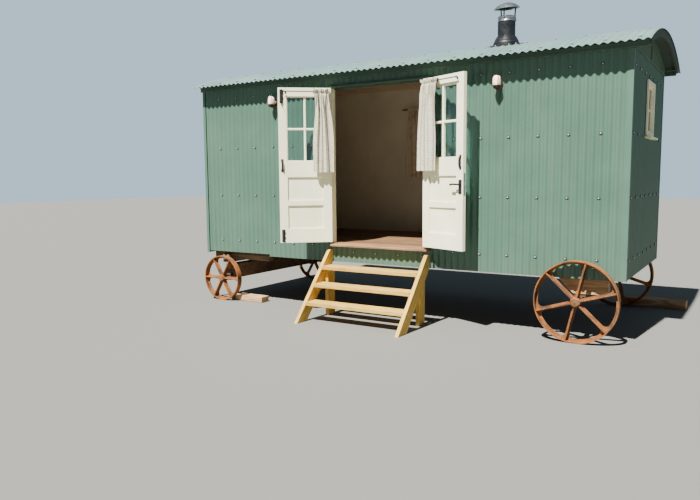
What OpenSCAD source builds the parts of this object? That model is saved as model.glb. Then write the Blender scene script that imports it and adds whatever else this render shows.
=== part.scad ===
// Shepherds hut on four spoked iron wheels, sizes in millimetres.
// X runs along the hut, Y from the door side to the back, Z up from the ground.

/* [Body] */
// length of the corrugated body
body_l = 5528; // [3600:1:7200]
// width of the corrugated body
body_w = 2134; // [1600:1:2800]
// height from the lower edge of the cladding to the eave trim
wall_h = 2188; // [1700:1:2600]
// height of the lower edge of the cladding above the ground
ground_gap = 665; // [450:1:900]
// thickness of the framed and lined wall behind the cladding
wall_t = 75; // [50:1:150]
// height of the finished floor above the lower edge of the cladding
floor_h = 205; // [120:1:300]
// thickness of the floorboards
floor_t = 25; // [15:1:40]
// depth of the joists under the floorboards
joist_d = 110; // [60:1:150]
// drop of the cladding edge below the floor frame
skirt = 20; // [0:1:60]
// step up of that edge over the turning wheels
notch_h = 28; // [0:1:60]
// length of the raised edge from the left end
notch_l = 1116; // [0:1:1600]

/* [Corrugated sheet] */
// pitch of the corrugations
corr_p = 76.2; // [50:0.1:100]
// depth of the corrugations
corr_d = 17; // [8:0.5:30]
// thickness of the sheet
sheet_t = 1; // [0.6:0.1:3]
// first crest from the left end of a wall
crest_x = 68.4; // [0:0.1:76.2]
// width of each leg of the corner flashings
corner_w = 42; // [20:1:90]

/* [Roof] */
// overhang of the sheet beyond the front and back walls
eave_out = 160; // [60:1:300]
// height of the eave above the lower edge of the cladding
eave_h = 2240; // [1900:1:2700]
// rise of the arched roof from eave to ridge
roof_rise = 265; // [120:1:600]
// overhang of the roof at the left end
verge_left = 48; // [0:1:300]
// overhang of the roof at the right end
verge_right = 160; // [0:1:300]
// thickness of the boarding under the sheet
deck_t = 30; // [15:1:60]
// thickness of the eave trim boards
fascia_t = 22; // [12:1:40]
// depth of the eave trim boards
fascia_h = 96; // [60:1:160]
// depth of the curved boards at the roof ends
verge_d = 76; // [60:1:160]
// thickness of the curved boards at the roof ends
verge_t = 22; // [16:1:36]
// depth of the curved ribs against the gables
rib_h = 82; // [40:1:110]
// depth of the packers over the turning axle
packer_d = 65; // [20:1:100]
// length of the packers from the left end
packer_l = 1030; // [700:1:1080]

/* [Doorway] */
// left hinge line from the left end
pin_left = 2137; // [1200:1:3000]
// right hinge line from the left end
pin_right = 3412; // [2400:1:4600]
// lower edge of the leaves above the lower edge of the cladding
leaf_z0 = 228; // [150:1:350]
// thickness of the rain strip over the door
drip_h = 30; // [15:1:60]
// upper edge of the leaves above the lower edge of the cladding
leaf_z1 = 2074; // [1700:1:2300]
// thickness of a leaf
leaf_t = 44; // [30:1:60]
// gap between the closed leaves
leaf_gap = 10; // [10:0.5:14]
// gap between a leaf and the frame
frame_gap = 5; // [5:0.5:10]
// face width of the door frame
frame_w = 40; // [30:1:90]
// depth of the stops behind the leaves
stop_d = 21; // [10:1:40]
// distance of the hinge line in front of the outer leaf face
pin_out = 8; // [4:0.5:20]
// distance of the outer leaf face in front of the cladding
leaf_out = 24; // [0:1:60]
// opening of the left leaf as it stands
open_left = 140; // [0:1:165]
// opening of the right leaf as it stands
open_right = 156.5; // [0:0.5:165]

/* [Door leaves] */
// width of the stiles
stile_w = 100; // [60:1:140]
// depth of the top rail
top_rail = 106; // [60:1:160]
// depth of the middle rail
mid_rail = 190; // [90:1:260]
// depth of the rail between the panels
lock_rail = 60; // [40:1:140]
// depth of the bottom rail
bottom_rail = 168; // [90:1:260]
// depth of the glazed part
glazed_h = 760; // [400:1:1000]
// face width of the glazing bars
bar_w = 26; // [15:1:50]
// thickness of the glass
glass_t = 4; // [3:0.5:10]
// thickness of the lower panels
panel_t = 14; // [8:1:24]
// width of the raised field edge on the lower panels
field_w = 26; // [10:1:60]
// length of the hinge knuckles
hinge_l = 60; // [40:1:100]
// distance of the outer hinges from the leaf ends
hinge_end = 160; // [80:1:300]
// diameter of the curtain rods on the leaves
rod_d = 12; // [6:1:20]
// distance of the rods below the tops of the leaves
rod_down = 46; // [46:1:90]
// width of a door curtain as it hangs
curtain_w = 265; // [150:1:400]
// length of a door curtain
curtain_l = 944; // [500:1:1200]
// thickness of a curtain as it hangs
curtain_t = 40; // [20:1:60]
// reach of a door curtain past the hinge line
curtain_past = 30; // [0:1:40]
// height of the lever above the bottom of the leaf
lever_z = 700; // [500:1:900]
// length of the lock plate
plate_l = 150; // [100:1:220]

/* [Wheels] */
// radius of the left pair
wheel_rl = 307; // [200:1:450]
// radius of the right pair
wheel_rr = 417; // [250:1:600]
// left axle line from the left end
axle_xl = 306; // [200:1:1200]
// right axle line from the right end
axle_in = 451; // [300:1:1400]
// distance of the outer rim face of the left pair outside the cladding
wheel_yl = 68; // [40:1:160]
// distance of the outer rim face of the right pair outside the cladding
wheel_yr = 98; // [95:1:200]
// width of the tread
tread_w = 78; // [40:1:120]
// thickness of the tread
tread_t = 11; // [6:1:25]
// thickness of the spoke plates
plate_t = 11; // [6:1:20]
// width of the spoke plates
spoke_w = 40; // [24:1:80]
// radius of the flares where a spoke meets the rim
flare_r = 45; // [20:1:90]
// number of spokes
spokes = 6; // [4:1:12]
// turn of the right pair about their axle
turn_r = 17; // [0:1:60]
// width of the web inside the rim
web_w = 24; // [10:1:60]
// depth of the standing ribs on the spokes
rib_d = 42; // [15:1:60]
// distance of the ribs inside the outer rim face
rib_in = 4; // [0:1:30]
// thickness of the standing rib on a spoke
rib_w = 13; // [6:1:20]
// radius of the hub
hub_r = 50; // [30:1:80]
// length of the hub
hub_l = 120; // [80:1:180]
// radius of the axle in the hub
axle_r = 20; // [12:0.5:35]
// running gap round the axle
axle_gap = 1; // [0.5:0.1:3]

/* [Steps] */
// left face of the steps from the left end
steps_x0 = 2085; // [1500:1:3000]
// width over the stringers
steps_w = 1360; // [600:1:1800]
// thickness of the stringers
stringer_t = 44; // [25:1:60]
// width of the stringer boards
stringer_w = 150; // [90:1:220]
// thickness of the treads
tread_board = 44; // [25:1:60]
// depth of the treads
tread_depth = 185; // [120:1:280]
// height of the first tread surface above the ground
tread_first = 229; // [120:1:280]
// distance of the tread edges in front of the stringers
tread_nose = 25; // [0:1:40]
// rise from tread to tread
tread_rise = 192; // [140:1:240]
// distance of the stringer feet in front of the cladding
steps_out = 770; // [500:1:1000]
// run of the stringer fronts
steps_run = 705; // [400:1:900]
// height of the stringer tops above the ground
steps_h = 796; // [600:1:900]
// width of the back legs
leg_w = 150; // [60:1:200]
// distance of the fronts of the back legs in front of the cladding
leg_out = 182; // [160:1:230]

/* [Blocks] */
// length of the block by the front wheel
chock_l = 476; // [200:1:800]
// width of the block by the front wheel
chock_w = 154; // [60:1:240]
// height of the block by the front wheel
chock_h = 80; // [40:1:140]
// distance of the block from the front axle
chock_x = 170; // [120:1:300]
// length of the sleeper behind the back wheel
sleeper_l = 750; // [300:1:1200]
// width of the sleeper
sleeper_w = 190; // [100:1:260]
// height of the sleeper
sleeper_h = 108; // [60:1:150]
// distance of the sleeper's right end from the back axle
sleeper_x = 793; // [300:1:1000]

/* [Windows] */
// width of the end window
end_window_w = 440; // [300:1:900]
// height of the end window
end_window_h = 537; // [300:1:900]
// lower edge of the end window above the lower edge of the cladding
end_window_z = 1439; // [900:1:1600]
// width of the back window
back_window_w = 860; // [300:1:1200]
// height of the back window
back_window_h = 740; // [300:1:1000]
// lower edge of the back window above the lower edge of the cladding
back_window_z = 1160; // [900:1:1600]
// centre of the back window from the left end
back_window_x = 2775; // [800:1:4800]
// face width of the window frames
sash_w = 45; // [25:1:80]
// width of one back curtain as it hangs
back_curtain_w = 235; // [100:1:400]
// length of the back curtains
back_curtain_h = 950; // [500:1:1400]
// outer edge of the back curtains from the middle of the window
back_curtain_x = 650; // [300:1:900]

/* [Flue] */
// flue centre from the left end
flue_x = 4123; // [800:1:4800]
// flue centre behind the front cladding
flue_y = 500; // [350:1:1600]
// outside radius of the flue
flue_r = 95; // [50:1:130]
// top of the flue pipe above the lower edge of the cladding
flue_top = 2689; // [2600:1:3200]
// radius of the cowl
cowl_r = 140; // [80:1:200]

/* [Lamps] */
// left lamp from the left end
lamp_xl = 1252; // [400:1:1600]
// right lamp from the left end
lamp_xr = 4222; // [3900:1:5200]
// centre height of the lamps above the lower edge of the cladding
lamp_z = 1978; // [1500:1:2100]
// radius of the lamp glass
lamp_r = 42; // [25:1:70]
// height of the lamp glass
lamp_h = 120; // [60:1:180]
// distance of the lamp glass in front of the cladding
lamp_out = 64; // [55:1:100]

/* [Hidden] */
$fn = 64;
eps = 0.01;
fit = 0.3;
x0 = -body_l / 2;
axle_xr = body_l - axle_in;
x1 = body_l / 2;
yf = -body_w / 2;
yb = body_w / 2;
zb = ground_gap;
wave_n = 6;
roof_lip = 12;
turn_z = zb - 150;
plate_r = 240;
skin = corr_d + sheet_t + fit;
wall_y0 = yf + skin;
wall_y1 = wall_y0 + wall_t;
floor_z = zb + floor_h;
joist_z = floor_z - floor_t - joist_d;
leaf_w = (pin_right - pin_left - leaf_gap) / 2;
leaf_h = leaf_z1 - leaf_z0;
pin_y = yf - leaf_out - pin_out;
frame_x0 = x0 + pin_left - frame_w;
frame_x1 = x0 + pin_right + frame_w;
frame_z1 = zb + leaf_z1 + frame_gap + frame_w;
back_rail_y = -wall_y1 - 50;
back_rail_z = zb + 1990;
wall_top = zb + wall_h;
sheet_top = wall_top + 50;
end_t = wall_t + skin;
roof_half = body_w / 2 + eave_out;
roof_r = (roof_half * roof_half + roof_rise * roof_rise) / (2 * roof_rise);
roof_cz = zb + eave_h + roof_rise - roof_r;
roof_a = asin(roof_half / roof_r);
roof_top = roof_cz + roof_r;
verge_x0 = x0 - verge_left;
verge_x1 = x1 + verge_right;
flue_z = roof_cz + sqrt(roof_r * roof_r - (yf + flue_y) * (yf + flue_y));
lamp_z0 = -56;
wheel_clear = 6;
hub_out = 17;
sleeper_x1 = x0 + axle_xr + sleeper_x;
sleeper_y0 = yb + wheel_yr + hub_out + 11;
sleeper_y1 = sleeper_y0 + sleeper_w;
deck_r = roof_r - corr_d - sheet_t - 0.5;

function wave(x) = corr_d / 2 * (1 - cos(360 * (x - crest_x) / corr_p));
// places along a run of length l where the wave is drawn, crests and troughs among them
function wave_xs(l) = let (step = corr_p / wave_n, first = crest_x - step * floor(crest_x / step))
  concat([0], [for (x = [first:step:l - eps]) if (x > eps) x], [l]);

// moves the hut so that the middle of its whole outline stands over the origin
module at_middle() {
  translate([-(verge_x0 + sleeper_x1) / 2, -(yf - steps_out + sleeper_y1) / 2, 0]) children();
}

// a box between two opposite corners
module span(a, b) {
  translate(a) cube(b - a);
}

// standing sheet along X with its crests on y = 0
module sheet_run(l, z0, z1) {
  xs = wave_xs(l);
  n = len(xs) - 1;
  translate([0, 0, z0]) linear_extrude(z1 - z0)
    polygon(concat([for (x = xs) [x, wave(x)]],
      [for (i = [n:-1:0]) [xs[i], wave(xs[i]) + sheet_t]]));
}

// children as they are for hand 1, or mirrored left to right for hand -1
module handed(hand) {
  if (hand > 0) children();
  else mirror([1, 0, 0]) children();
}

// a solid of revolution round the roof axis, drawn as radius against length
module roof_turn(half_angle) {
  translate([0, 0, roof_cz]) rotate([0, -90, 0]) rotate([0, 0, -half_angle])
    rotate_extrude(angle = 2 * half_angle, $fn = 180) children();
}

// the arched strip between two radii and two lengths
module roof_strip(r0, r1, xa, xb, half_angle) {
  roof_turn(half_angle) polygon([[r0, -xa], [r1, -xa], [r1, -xb], [r0, -xb]]);
}

// keeps what lies under the roof boarding
module under_roof() {
  intersection() {
    union() children();
    translate([verge_x0 - 10, 0, roof_cz]) rotate([0, 90, 0])
      cylinder(r = deck_r - deck_t - fit, h = body_l + verge_left + verge_right + 20, $fn = 180);
  }
}

module chassis_timbers() {
  rail_y = 95;
  rail_w = 100;
  rail_z0 = zb - 35;
  rail_z1 = joist_z;
  block_l = 490;
  block_z0 = zb - 190;
  color("#4a3a2a") at_middle() {
    for (s = [-1, 1]) {
      ya = s < 0 ? yf + rail_y : yb - rail_y - rail_w;
      span([x0 + 60, ya, rail_z0], [x1 - 60, ya + rail_w, rail_z1]);
      span([x0 + 60, ya, rail_z0 - packer_d], [x0 + packer_l, ya + rail_w, rail_z0]);
      translate([x0 + axle_xr + 30, ya + rail_w, 0]) rotate([90, 0, 0])
        linear_extrude(rail_w) polygon([[-block_l / 2, rail_z0], [-block_l / 2 + 80, block_z0 + 60],
          [-block_l / 2 + 150, block_z0], [block_l / 2 - 40, block_z0],
          [block_l / 2, block_z0 + 40], [block_l / 2, rail_z0]]);
    }
    span([x0 + axle_xl - 60, yf + 45, turn_z], [x0 + axle_xl + 60, yb - 45, rail_z0]);
    difference() {
      span([x0 + axle_xl - 90, yf + 125, wheel_rl - 20], [x0 + axle_xl + 90, yb - 125, turn_z - 35]);
      span([x0 + axle_xl - 26 - fit, yf, 0], [x0 + axle_xl + 26 + fit, yb, wheel_rl + 26]);
    }
  }
}

module axle_line(xa, za, ya, half) {
  bar = 52;
  translate([xa, 0, za]) {
    span([-bar / 2, yf + ya, -bar / 2], [bar / 2, yb - ya, bar / 2]);
    rotate([90, 0, 0]) translate([0, 0, -half]) cylinder(r = axle_r, h = 2 * half);
  }
}

module axles() {
  color("#3a3230") at_middle() {
    axle_line(x0 + axle_xl, wheel_rl, 40, body_w / 2 + wheel_yl - 14);
    axle_line(x0 + axle_xr, wheel_rr, 60, body_w / 2 + wheel_yr - 14);
    for (s = [-1, 1]) {
      ya = s < 0 ? yf + 95 : yb - 195;
      span([x0 + axle_xr - 60, ya + 10, wheel_rr + 26], [x0 + axle_xr + 60, ya + 90, zb - 190]);
    }
    for (ya = [yf + 70, yb - 120])
      span([x0 + axle_xl - 44, ya, wheel_rl - 44], [x0 + axle_xl + 44, ya + 50, wheel_rl + 50]);
    translate([x0 + axle_xl, 0, turn_z - 35]) cylinder(r = plate_r, h = 12);
    translate([x0 + axle_xl, 0, turn_z - 23]) cylinder(r = plate_r - 50, h = 23);
  }
}

module floor_boards() {
  color("#7a5234") at_middle() {
    span([x0 + end_t + fit, wall_y1 + fit, floor_z - floor_t], [x1 - end_t - fit, -wall_y1 - fit, floor_z]);
    span([x0 + skin, wall_y0, joist_z], [x1 - skin, -wall_y0, floor_z - floor_t]);
  }
}

module door_sill() {
  front = yf - 78;
  color("#8c4a34") at_middle() translate([x0 + pin_left, 0, 0]) rotate([90, 0, 90])
    linear_extrude(pin_right - pin_left + 25)
      polygon([[front, floor_z - 32], [wall_y0 - fit, floor_z - 32], [wall_y0 - fit, floor_z - floor_t + fit],
        [wall_y1, floor_z - floor_t + fit], [wall_y1, floor_z + 8], [yf - leaf_out + 6, floor_z + 8],
        [front, floor_z - 10]]);
}

module front_wall_left() {
  color("#e8dfc8") at_middle() under_roof()
    span([x0 + end_t + fit, wall_y0, floor_z - floor_t], [frame_x0 - fit, wall_y1, roof_top]);
}

module front_wall_right() {
  color("#e8dfc8") at_middle() under_roof()
    span([frame_x1 + fit, wall_y0, floor_z - floor_t], [x1 - end_t - fit, wall_y1, roof_top]);
}

module front_wall_over_door() {
  color("#e8dfc8") at_middle() under_roof()
    span([frame_x0, wall_y0, frame_z1], [frame_x1, wall_y1, roof_top]);
}

module back_wall() {
  xa = x0 + back_window_x;
  color("#e8dfc8") at_middle() difference() {
    under_roof() span([x0 + end_t + fit, -wall_y1, floor_z - floor_t], [x1 - end_t - fit, -wall_y0, roof_top]);
    span([xa - back_window_w / 2, -wall_y1 - 1, zb + back_window_z],
      [xa + back_window_w / 2, -wall_y0 + 1, zb + back_window_z + back_window_h]);
  }
}

module end_walls() {
  color("#e8dfc8") at_middle() difference() {
    under_roof() {
      span([x0 + skin, wall_y0, floor_z - floor_t], [x0 + end_t, -wall_y0, roof_top]);
      span([x1 - end_t, wall_y0, floor_z - floor_t], [x1 - skin, -wall_y0, roof_top]);
    }
    span([x1 - end_t - 1, -end_window_w / 2, zb + end_window_z],
      [x1, end_window_w / 2, zb + end_window_z + end_window_h]);
  }
}

module cladding_left() {
  lb = frame_x0 - x0 - fit;
  deep = corr_d + sheet_t + 1;
  color("#8aa48f") at_middle() translate([x0, yf, 0]) difference() {
    sheet_run(lb, zb - skirt, sheet_top);
    span([-1, -1, zb - skirt - 1], [notch_l, deep, zb - skirt + notch_h]);
  }
}

module cladding_right() {
  color("#8aa48f") at_middle() intersection() {
    translate([x0, yf, 0]) sheet_run(body_l, zb - skirt, sheet_top);
    span([frame_x1 + fit, yf - 1, zb - 100], [x1, yf + corr_d + sheet_t + 1, sheet_top + 1]);
  }
}

module cladding_door() {
  color("#8aa48f") at_middle() intersection() {
    translate([x0, yf, 0]) sheet_run(body_l, zb - skirt, sheet_top);
    union() {
      span([frame_x0, yf - 1, zb - 100], [frame_x1, yf + 30, floor_z - 32 - fit]);
      span([frame_x0, yf - 1, frame_z1], [frame_x1, yf + 30, sheet_top + 1]);
    }
  }
}

module cladding_back() {
  xa = x0 + back_window_x;
  color("#8aa48f") at_middle() difference() {
    translate([x0, yb, 0]) mirror([0, 1, 0]) sheet_run(body_l, zb - skirt, sheet_top);
    span([xa - back_window_w / 2, yb - 50, zb + back_window_z],
      [xa + back_window_w / 2, yb + 10, zb + back_window_z + back_window_h]);
  }
}

module cladding_ends() {
  lw = body_w - 2 * skin;
  color("#8aa48f") at_middle() {
    translate([x1, -lw / 2, 0]) rotate([0, 0, 90]) difference() {
      sheet_run(lw, zb - skirt, wall_top);
      span([lw / 2 - end_window_w / 2, -5, zb + end_window_z],
        [lw / 2 + end_window_w / 2, 50, zb + end_window_z + end_window_h]);
    }
    translate([x0, lw / 2, 0]) rotate([0, 0, -90]) sheet_run(lw, zb - skirt, wall_top);
  }
}

module corner_flashings() {
  t = 1.5;
  color("#7f9a86") at_middle() for (sx = [-1, 1], sy = [0, 1]) handed(sx) mirror([0, sy, 0]) {
    span([x1 - corner_w, yb + fit, zb - skirt], [x1 + fit + t, yb + fit + t, wall_top - 1]);
    span([x1 + fit, yb - corner_w, zb - skirt], [x1 + fit + t, yb + fit + t, wall_top - 1]);
  }
}

module roof_sheet() {
  l = verge_x1 - verge_x0;
  xs = wave_xs(l);
  n = len(xs) - 1;
  color("#9fb3a6") at_middle() roof_turn(roof_a)
    polygon(concat([for (x = xs) [roof_r - wave(x), -verge_x0 - x]],
      [for (i = [n:-1:0]) [roof_r - wave(xs[i]) - sheet_t, -verge_x0 - xs[i]]]));
}

module roof_deck() {
  a = asin((body_w / 2 + 20) / deck_r);
  out = roof_lip + verge_t;
  color("#e8dfc8") at_middle() roof_strip(deck_r - deck_t, deck_r, verge_x0 + out, verge_x1 - out, a);
}

module eave_boards() {
  out = leaf_out - 6;
  color("#2f4a3c") at_middle() {
    under_roof() for (s = [-1, 1]) {
      ya = s < 0 ? yf - fascia_t - fit : yb + fit;
      span([verge_x0 + roof_lip + verge_t, ya, wall_top],
        [verge_x1 - roof_lip - verge_t, ya + fascia_t, wall_top + fascia_h]);
    }
    span([x0 + pin_left - 10, yf - out - 34, zb + leaf_z1 + 8], [frame_x1, yf - out, zb + leaf_z1 + 8 + drip_h]);
  }
}

module gable_boards() {
  t = 16;
  lap = 5;
  a = asin((body_w / 2 + fascia_t) / deck_r);
  rib_r = deck_r - deck_t - 2;
  a_rib = min(asin((body_w / 2 - skin - 1) / rib_r), acos((wall_top + 1 - roof_cz) / (rib_r - rib_h)));
  face_x = body_l / 2 - skin + t;
  color("#4c6a52") at_middle() {
    for (s = [-1, 1]) handed(s) {
      under_roof() span([body_l / 2 - skin + fit, wall_y0, wall_top + fit], [face_x, -wall_y0, roof_top]);
      span([face_x - lap, wall_y0 + 1, wall_top + 1], [body_l / 2 + 12, -wall_y0 - 1, wall_top + 28]);
      span([face_x - lap, -30, wall_top + 20], [body_l / 2 + 8, 30, roof_cz + rib_r - rib_h / 2]);
      roof_strip(rib_r - rib_h, rib_r, face_x - lap, body_l / 2 + 10, a_rib);
    }
    for (xa = [verge_x0 + roof_lip, verge_x1 - roof_lip - verge_t])
      roof_strip(deck_r - verge_d, deck_r, xa, xa + verge_t, a);
  }
}

module flue_at() {
  translate([x0 + flue_x, yf + flue_y, 0]) children();
}

module flue_flashing() {
  color("#26282a") at_middle() {
    difference() {
      flue_at() {
        translate([0, 0, flue_z - 50]) cylinder(r = 142, h = 62);
        translate([0, 0, flue_z + 12]) cylinder(r1 = 142, r2 = flue_r + 8, h = 76);
      }
      roof_strip(1000, roof_r + fit, verge_x0, verge_x1, roof_a);
      flue_at() cylinder(r = flue_r + fit, h = 5000);
    }
    difference() {
      intersection() {
        roof_strip(roof_r + fit, roof_r + 4, x0 + flue_x - 200, x0 + flue_x + 200, roof_a);
        flue_at() span([-200, -150, 0], [200, 150, 5000]);
      }
      flue_at() cylinder(r = 141, h = 5000);
    }
  }
}

module flue_pipe() {
  color("#303335") at_middle() flue_at() difference() {
    translate([0, 0, flue_z + 30]) cylinder(r = flue_r, h = zb + flue_top - flue_z - 30);
    translate([0, 0, flue_z + 60]) cylinder(r = flue_r - 22, h = 1000);
  }
}

module flue_cowl() {
  dome_h = 62;
  dome_z = 150;
  dome_r = (cowl_r * cowl_r + dome_h * dome_h) / (2 * dome_h);
  strut_x = flue_r - 14;
  strut_h = dome_z + dome_h - dome_r + sqrt(dome_r * dome_r - (strut_x + 7) * (strut_x + 7)) - 2;
  color("#b8bcc0") at_middle() flue_at() translate([0, 0, zb + flue_top]) {
    difference() {
      cylinder(r = flue_r - 4, h = 60);
      translate([0, 0, -1]) cylinder(r = flue_r - 24, h = 70);
    }
    for (a = [30, 150, 270]) rotate([0, 0, a]) translate([strut_x, 0, 20]) cylinder(r = 7, h = strut_h - 20);
    translate([0, 0, dome_z]) intersection() {
      difference() {
        translate([0, 0, dome_h - dome_r]) sphere(r = dome_r, $fn = 96);
        translate([0, 0, dome_h - dome_r - 3]) sphere(r = dome_r, $fn = 96);
      }
      cylinder(r = cowl_r, h = 100);
    }
  }
}

module lamp_at() {
  for (lx = [lamp_xl, lamp_xr]) translate([x0 + lx, yf, zb + lamp_z]) children();
}

module lamp_mounts() {
  cup_h = 16;
  cup_z = lamp_z0 - cup_h;
  color("#3b2f28") at_middle() lamp_at() {
    translate([0, -fit, -30]) rotate([90, 0, 0]) cylinder(r = 48, h = 20);
    translate([0, -lamp_out, cup_z]) cylinder(r = 34, h = cup_h);
    span([-9, -lamp_out, cup_z + 4], [9, -15, lamp_z0]);
    translate([0, -lamp_out, lamp_z0 + lamp_h + 2 * fit]) cylinder(r1 = 40, r2 = 16, h = 18);
  }
}

module lamp_glasses() {
  color("#e9e4da") at_middle() lamp_at() translate([0, -lamp_out, lamp_z0 + fit]) difference() {
    cylinder(r = lamp_r, h = lamp_h);
    translate([0, 0, 4]) cylinder(r = lamp_r - 3, h = lamp_h - 8);
  }
}

// window frame with cross bars round an opening w by h, outer face toward -Y, centred on X
module window_frame(w, h) {
  trim = 25;
  glass_y = 23;
  difference() {
    union() {
      span([-w / 2 - trim, -18, -trim], [w / 2 + trim, -fit, h + trim]);
      span([-w / 2 + fit, -fit, fit], [w / 2 - fit, end_t, h - fit]);
    }
    span([-w / 2 + sash_w, -30, sash_w], [w / 2 - sash_w, end_t + 30, h - sash_w]);
  }
  span([-w / 2 - trim - 25, -60, -trim - 20], [w / 2 + trim + 25, -fit, -trim]);
  difference() {
    union() {
      span([-10, 10, sash_w], [10, 40, h - sash_w]);
      span([-w / 2 + sash_w, 10, h / 2 - 10], [w / 2 - sash_w, 40, h / 2 + 10]);
    }
    span([-w / 2, glass_y, 0], [w / 2, glass_y + glass_t, h]);
  }
}

module window_pane(w, h) {
  glass_y = 23;
  span([-w / 2 + sash_w, glass_y, sash_w], [w / 2 - sash_w, glass_y + glass_t, h - sash_w]);
}

module end_window_at() {
  translate([x1, 0, zb + end_window_z]) rotate([0, 0, 90]) children();
}

module back_window_at() {
  translate([x0 + back_window_x, yb, zb + back_window_z]) rotate([0, 0, 180]) children();
}

module window_frames() {
  color("#e6e2cf") at_middle() {
    end_window_at() window_frame(end_window_w, end_window_h);
    back_window_at() window_frame(back_window_w, back_window_h);
  }
}

module window_glass() {
  color("#9fb4b8") at_middle() {
    end_window_at() window_pane(end_window_w, end_window_h);
    back_window_at() window_pane(back_window_w, back_window_h);
  }
}

module back_curtain() {
  color("#8a7a64") at_middle() for (s = [-1, 1])
    translate([x0 + back_window_x, back_rail_y - 8 - fit - curtain_t, back_rail_z + 10 - back_curtain_h]) handed(s)
      span([back_curtain_x - back_curtain_w, 0, 0], [back_curtain_x, curtain_t, back_curtain_h]);
}

// heights of the three hinges on a leaf
function hinge_zs() = [hinge_end, (leaf_h - hinge_l) / 2, leaf_h - hinge_end - hinge_l];

// fixed half of a door hinge, its pin on the origin, plate toward -X
module hinge_half() {
  gap = 1;
  lug = 21;
  plate_y = pin_out - 0.5;
  face_y = pin_out + 6;
  for (z = hinge_zs()) translate([0, 0, z]) {
    translate([0, 0, -lug - gap]) cylinder(r = 3, h = hinge_l + 2 * (lug + gap));
    for (za = [-lug - gap, hinge_l + gap]) {
      translate([0, 0, za]) cylinder(r = 6, h = lug);
      span([-12, 0, za], [-1, face_y, za + lug]);
    }
    span([-30, plate_y, -lug - gap], [-2, face_y, hinge_l + lug + gap]);
  }
}

// a round bar between two points
module rod(a, b, r) {
  d = b - a;
  translate(a) rotate([0, acos(d.z / norm(d)), atan2(d.y, d.x)]) cylinder(r = r, h = norm(d));
}

module iron_fittings() {
  eye_x = x0 + crest_x + 45 * corr_p;
  eye_z = zb + 58;
  side_x = x0 + steps_x0 + steps_w;
  rail_half = back_curtain_x + 70;
  color("#222426") at_middle() {
    translate([x0 + back_window_x - rail_half, back_rail_y, back_rail_z]) rotate([0, 90, 0])
      cylinder(r = 8, h = 2 * rail_half);
    for (xa = [-rail_half + 20, rail_half - 20]) translate([x0 + back_window_x + xa, 0, back_rail_z])
      span([-5, back_rail_y - 6, -8], [5, -wall_y1, 8]);
    translate([eye_x, yf - fit, eye_z]) rotate([90, 0, 0]) cylinder(r = 4, h = 26);
    span([eye_x - 9, yf - fit - 5, zb - 16], [eye_x + 9, yf - fit, zb + 66]);
    rod([eye_x, yf - 21, eye_z], [side_x + 12, yf - 100, zb + 12], 4);
    translate([side_x, yf - 100, zb + 12]) rotate([0, 90, 0]) cylinder(r = 5, h = 18);
    for (s = [-1, 1]) translate([x0 + (s < 0 ? pin_left : pin_right), pin_y, zb + leaf_z0])
      handed(-s) hinge_half();
  }
}

module door_frame() {
  ya = yf - leaf_out + 6;
  stop_y = pin_y + pin_out + leaf_t + frame_gap;
  stop_y1 = stop_y + stop_d;
  color("#e9e4cf") at_middle() {
    span([frame_x0, ya, floor_z + 8 + fit], [x0 + pin_left - frame_gap, stop_y1, frame_z1]);
    span([x0 + pin_right + frame_gap, ya, floor_z + 8 + fit], [frame_x1, stop_y1, frame_z1]);
    span([x0 + pin_left - frame_gap, ya, zb + leaf_z1 + frame_gap],
      [x0 + pin_right + frame_gap, stop_y1, frame_z1]);
    span([x0 + pin_left - frame_gap, stop_y, floor_z + 8 + fit], [x0 + pin_left + 16, stop_y1, zb + leaf_z1 + frame_gap]);
    span([x0 + pin_right - 16, stop_y, floor_z + 8 + fit], [x0 + pin_right + frame_gap, stop_y1, zb + leaf_z1 + frame_gap]);
  }
}

// a leaf as it closes: hinge line on the origin, running along +X, outer face on y = pin_out
module leaf_board() {
  g0 = leaf_h - top_rail - glazed_h;
  pane_w = (leaf_w - 2 * stile_w - bar_w) / 2;
  pane_h = (glazed_h - bar_w) / 2;
  p1 = g0 - mid_rail;
  ph = (p1 - bottom_rail - lock_rail) / 2;
  difference() {
    translate([0, pin_out, 0]) cube([leaf_w, leaf_t, leaf_h]);
    for (i = [0, 1], k = [0, 1])
      translate([stile_w + i * (pane_w + bar_w), 0, g0 + k * (pane_h + bar_w)])
        cube([pane_w, 100, pane_h]);
    translate([stile_w - 9, pin_out + leaf_t / 2 - glass_t / 2, g0 - 9])
      cube([leaf_w - 2 * stile_w + 18, glass_t, glazed_h + 18]);
    for (k = [0, 1]) translate([stile_w, 0, bottom_rail + k * (ph + lock_rail)]) {
      translate([0, pin_out - 1, 0]) cube([leaf_w - 2 * stile_w, 1 + (leaf_t - panel_t) / 2, ph]);
      translate([0, pin_out + (leaf_t + panel_t) / 2, 0]) cube([leaf_w - 2 * stile_w, leaf_t, ph]);
    }
  }
  for (k = [0, 1])
    translate([stile_w + field_w, pin_out + (leaf_t + panel_t) / 2, bottom_rail + k * (ph + lock_rail) + field_w])
      cube([leaf_w - 2 * stile_w - 2 * field_w, 6, ph - 2 * field_w]);
}

module leaf_glass() {
  g0 = leaf_h - top_rail - glazed_h;
  translate([stile_w - 8, pin_out + leaf_t / 2 - glass_t / 2, g0 - 8])
    cube([leaf_w - 2 * stile_w + 16, glass_t, glazed_h + 16]);
}

module knuckles() {
  for (z = hinge_zs()) translate([0, 0, z]) difference() {
    union() {
      cylinder(r = 6, h = hinge_l);
      span([0, 0, 0], [6, pin_out, hinge_l]);
      span([0, 2, 0], [30, pin_out, hinge_l]);
    }
    translate([0, 0, -1]) cylinder(r = 3 + fit, h = hinge_l + 2);
  }
}

module curtain_rail() {
  yi = pin_out + leaf_t;
  z = leaf_h - rod_down;
  translate([40, yi + 30, z]) rotate([0, 90, 0]) cylinder(r = rod_d / 2, h = leaf_w - 110);
  for (x = [60, leaf_w - 90]) span([x - 5, yi, z - rod_d / 2], [x + 5, yi + 34, z + rod_d / 2]);
}

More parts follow.
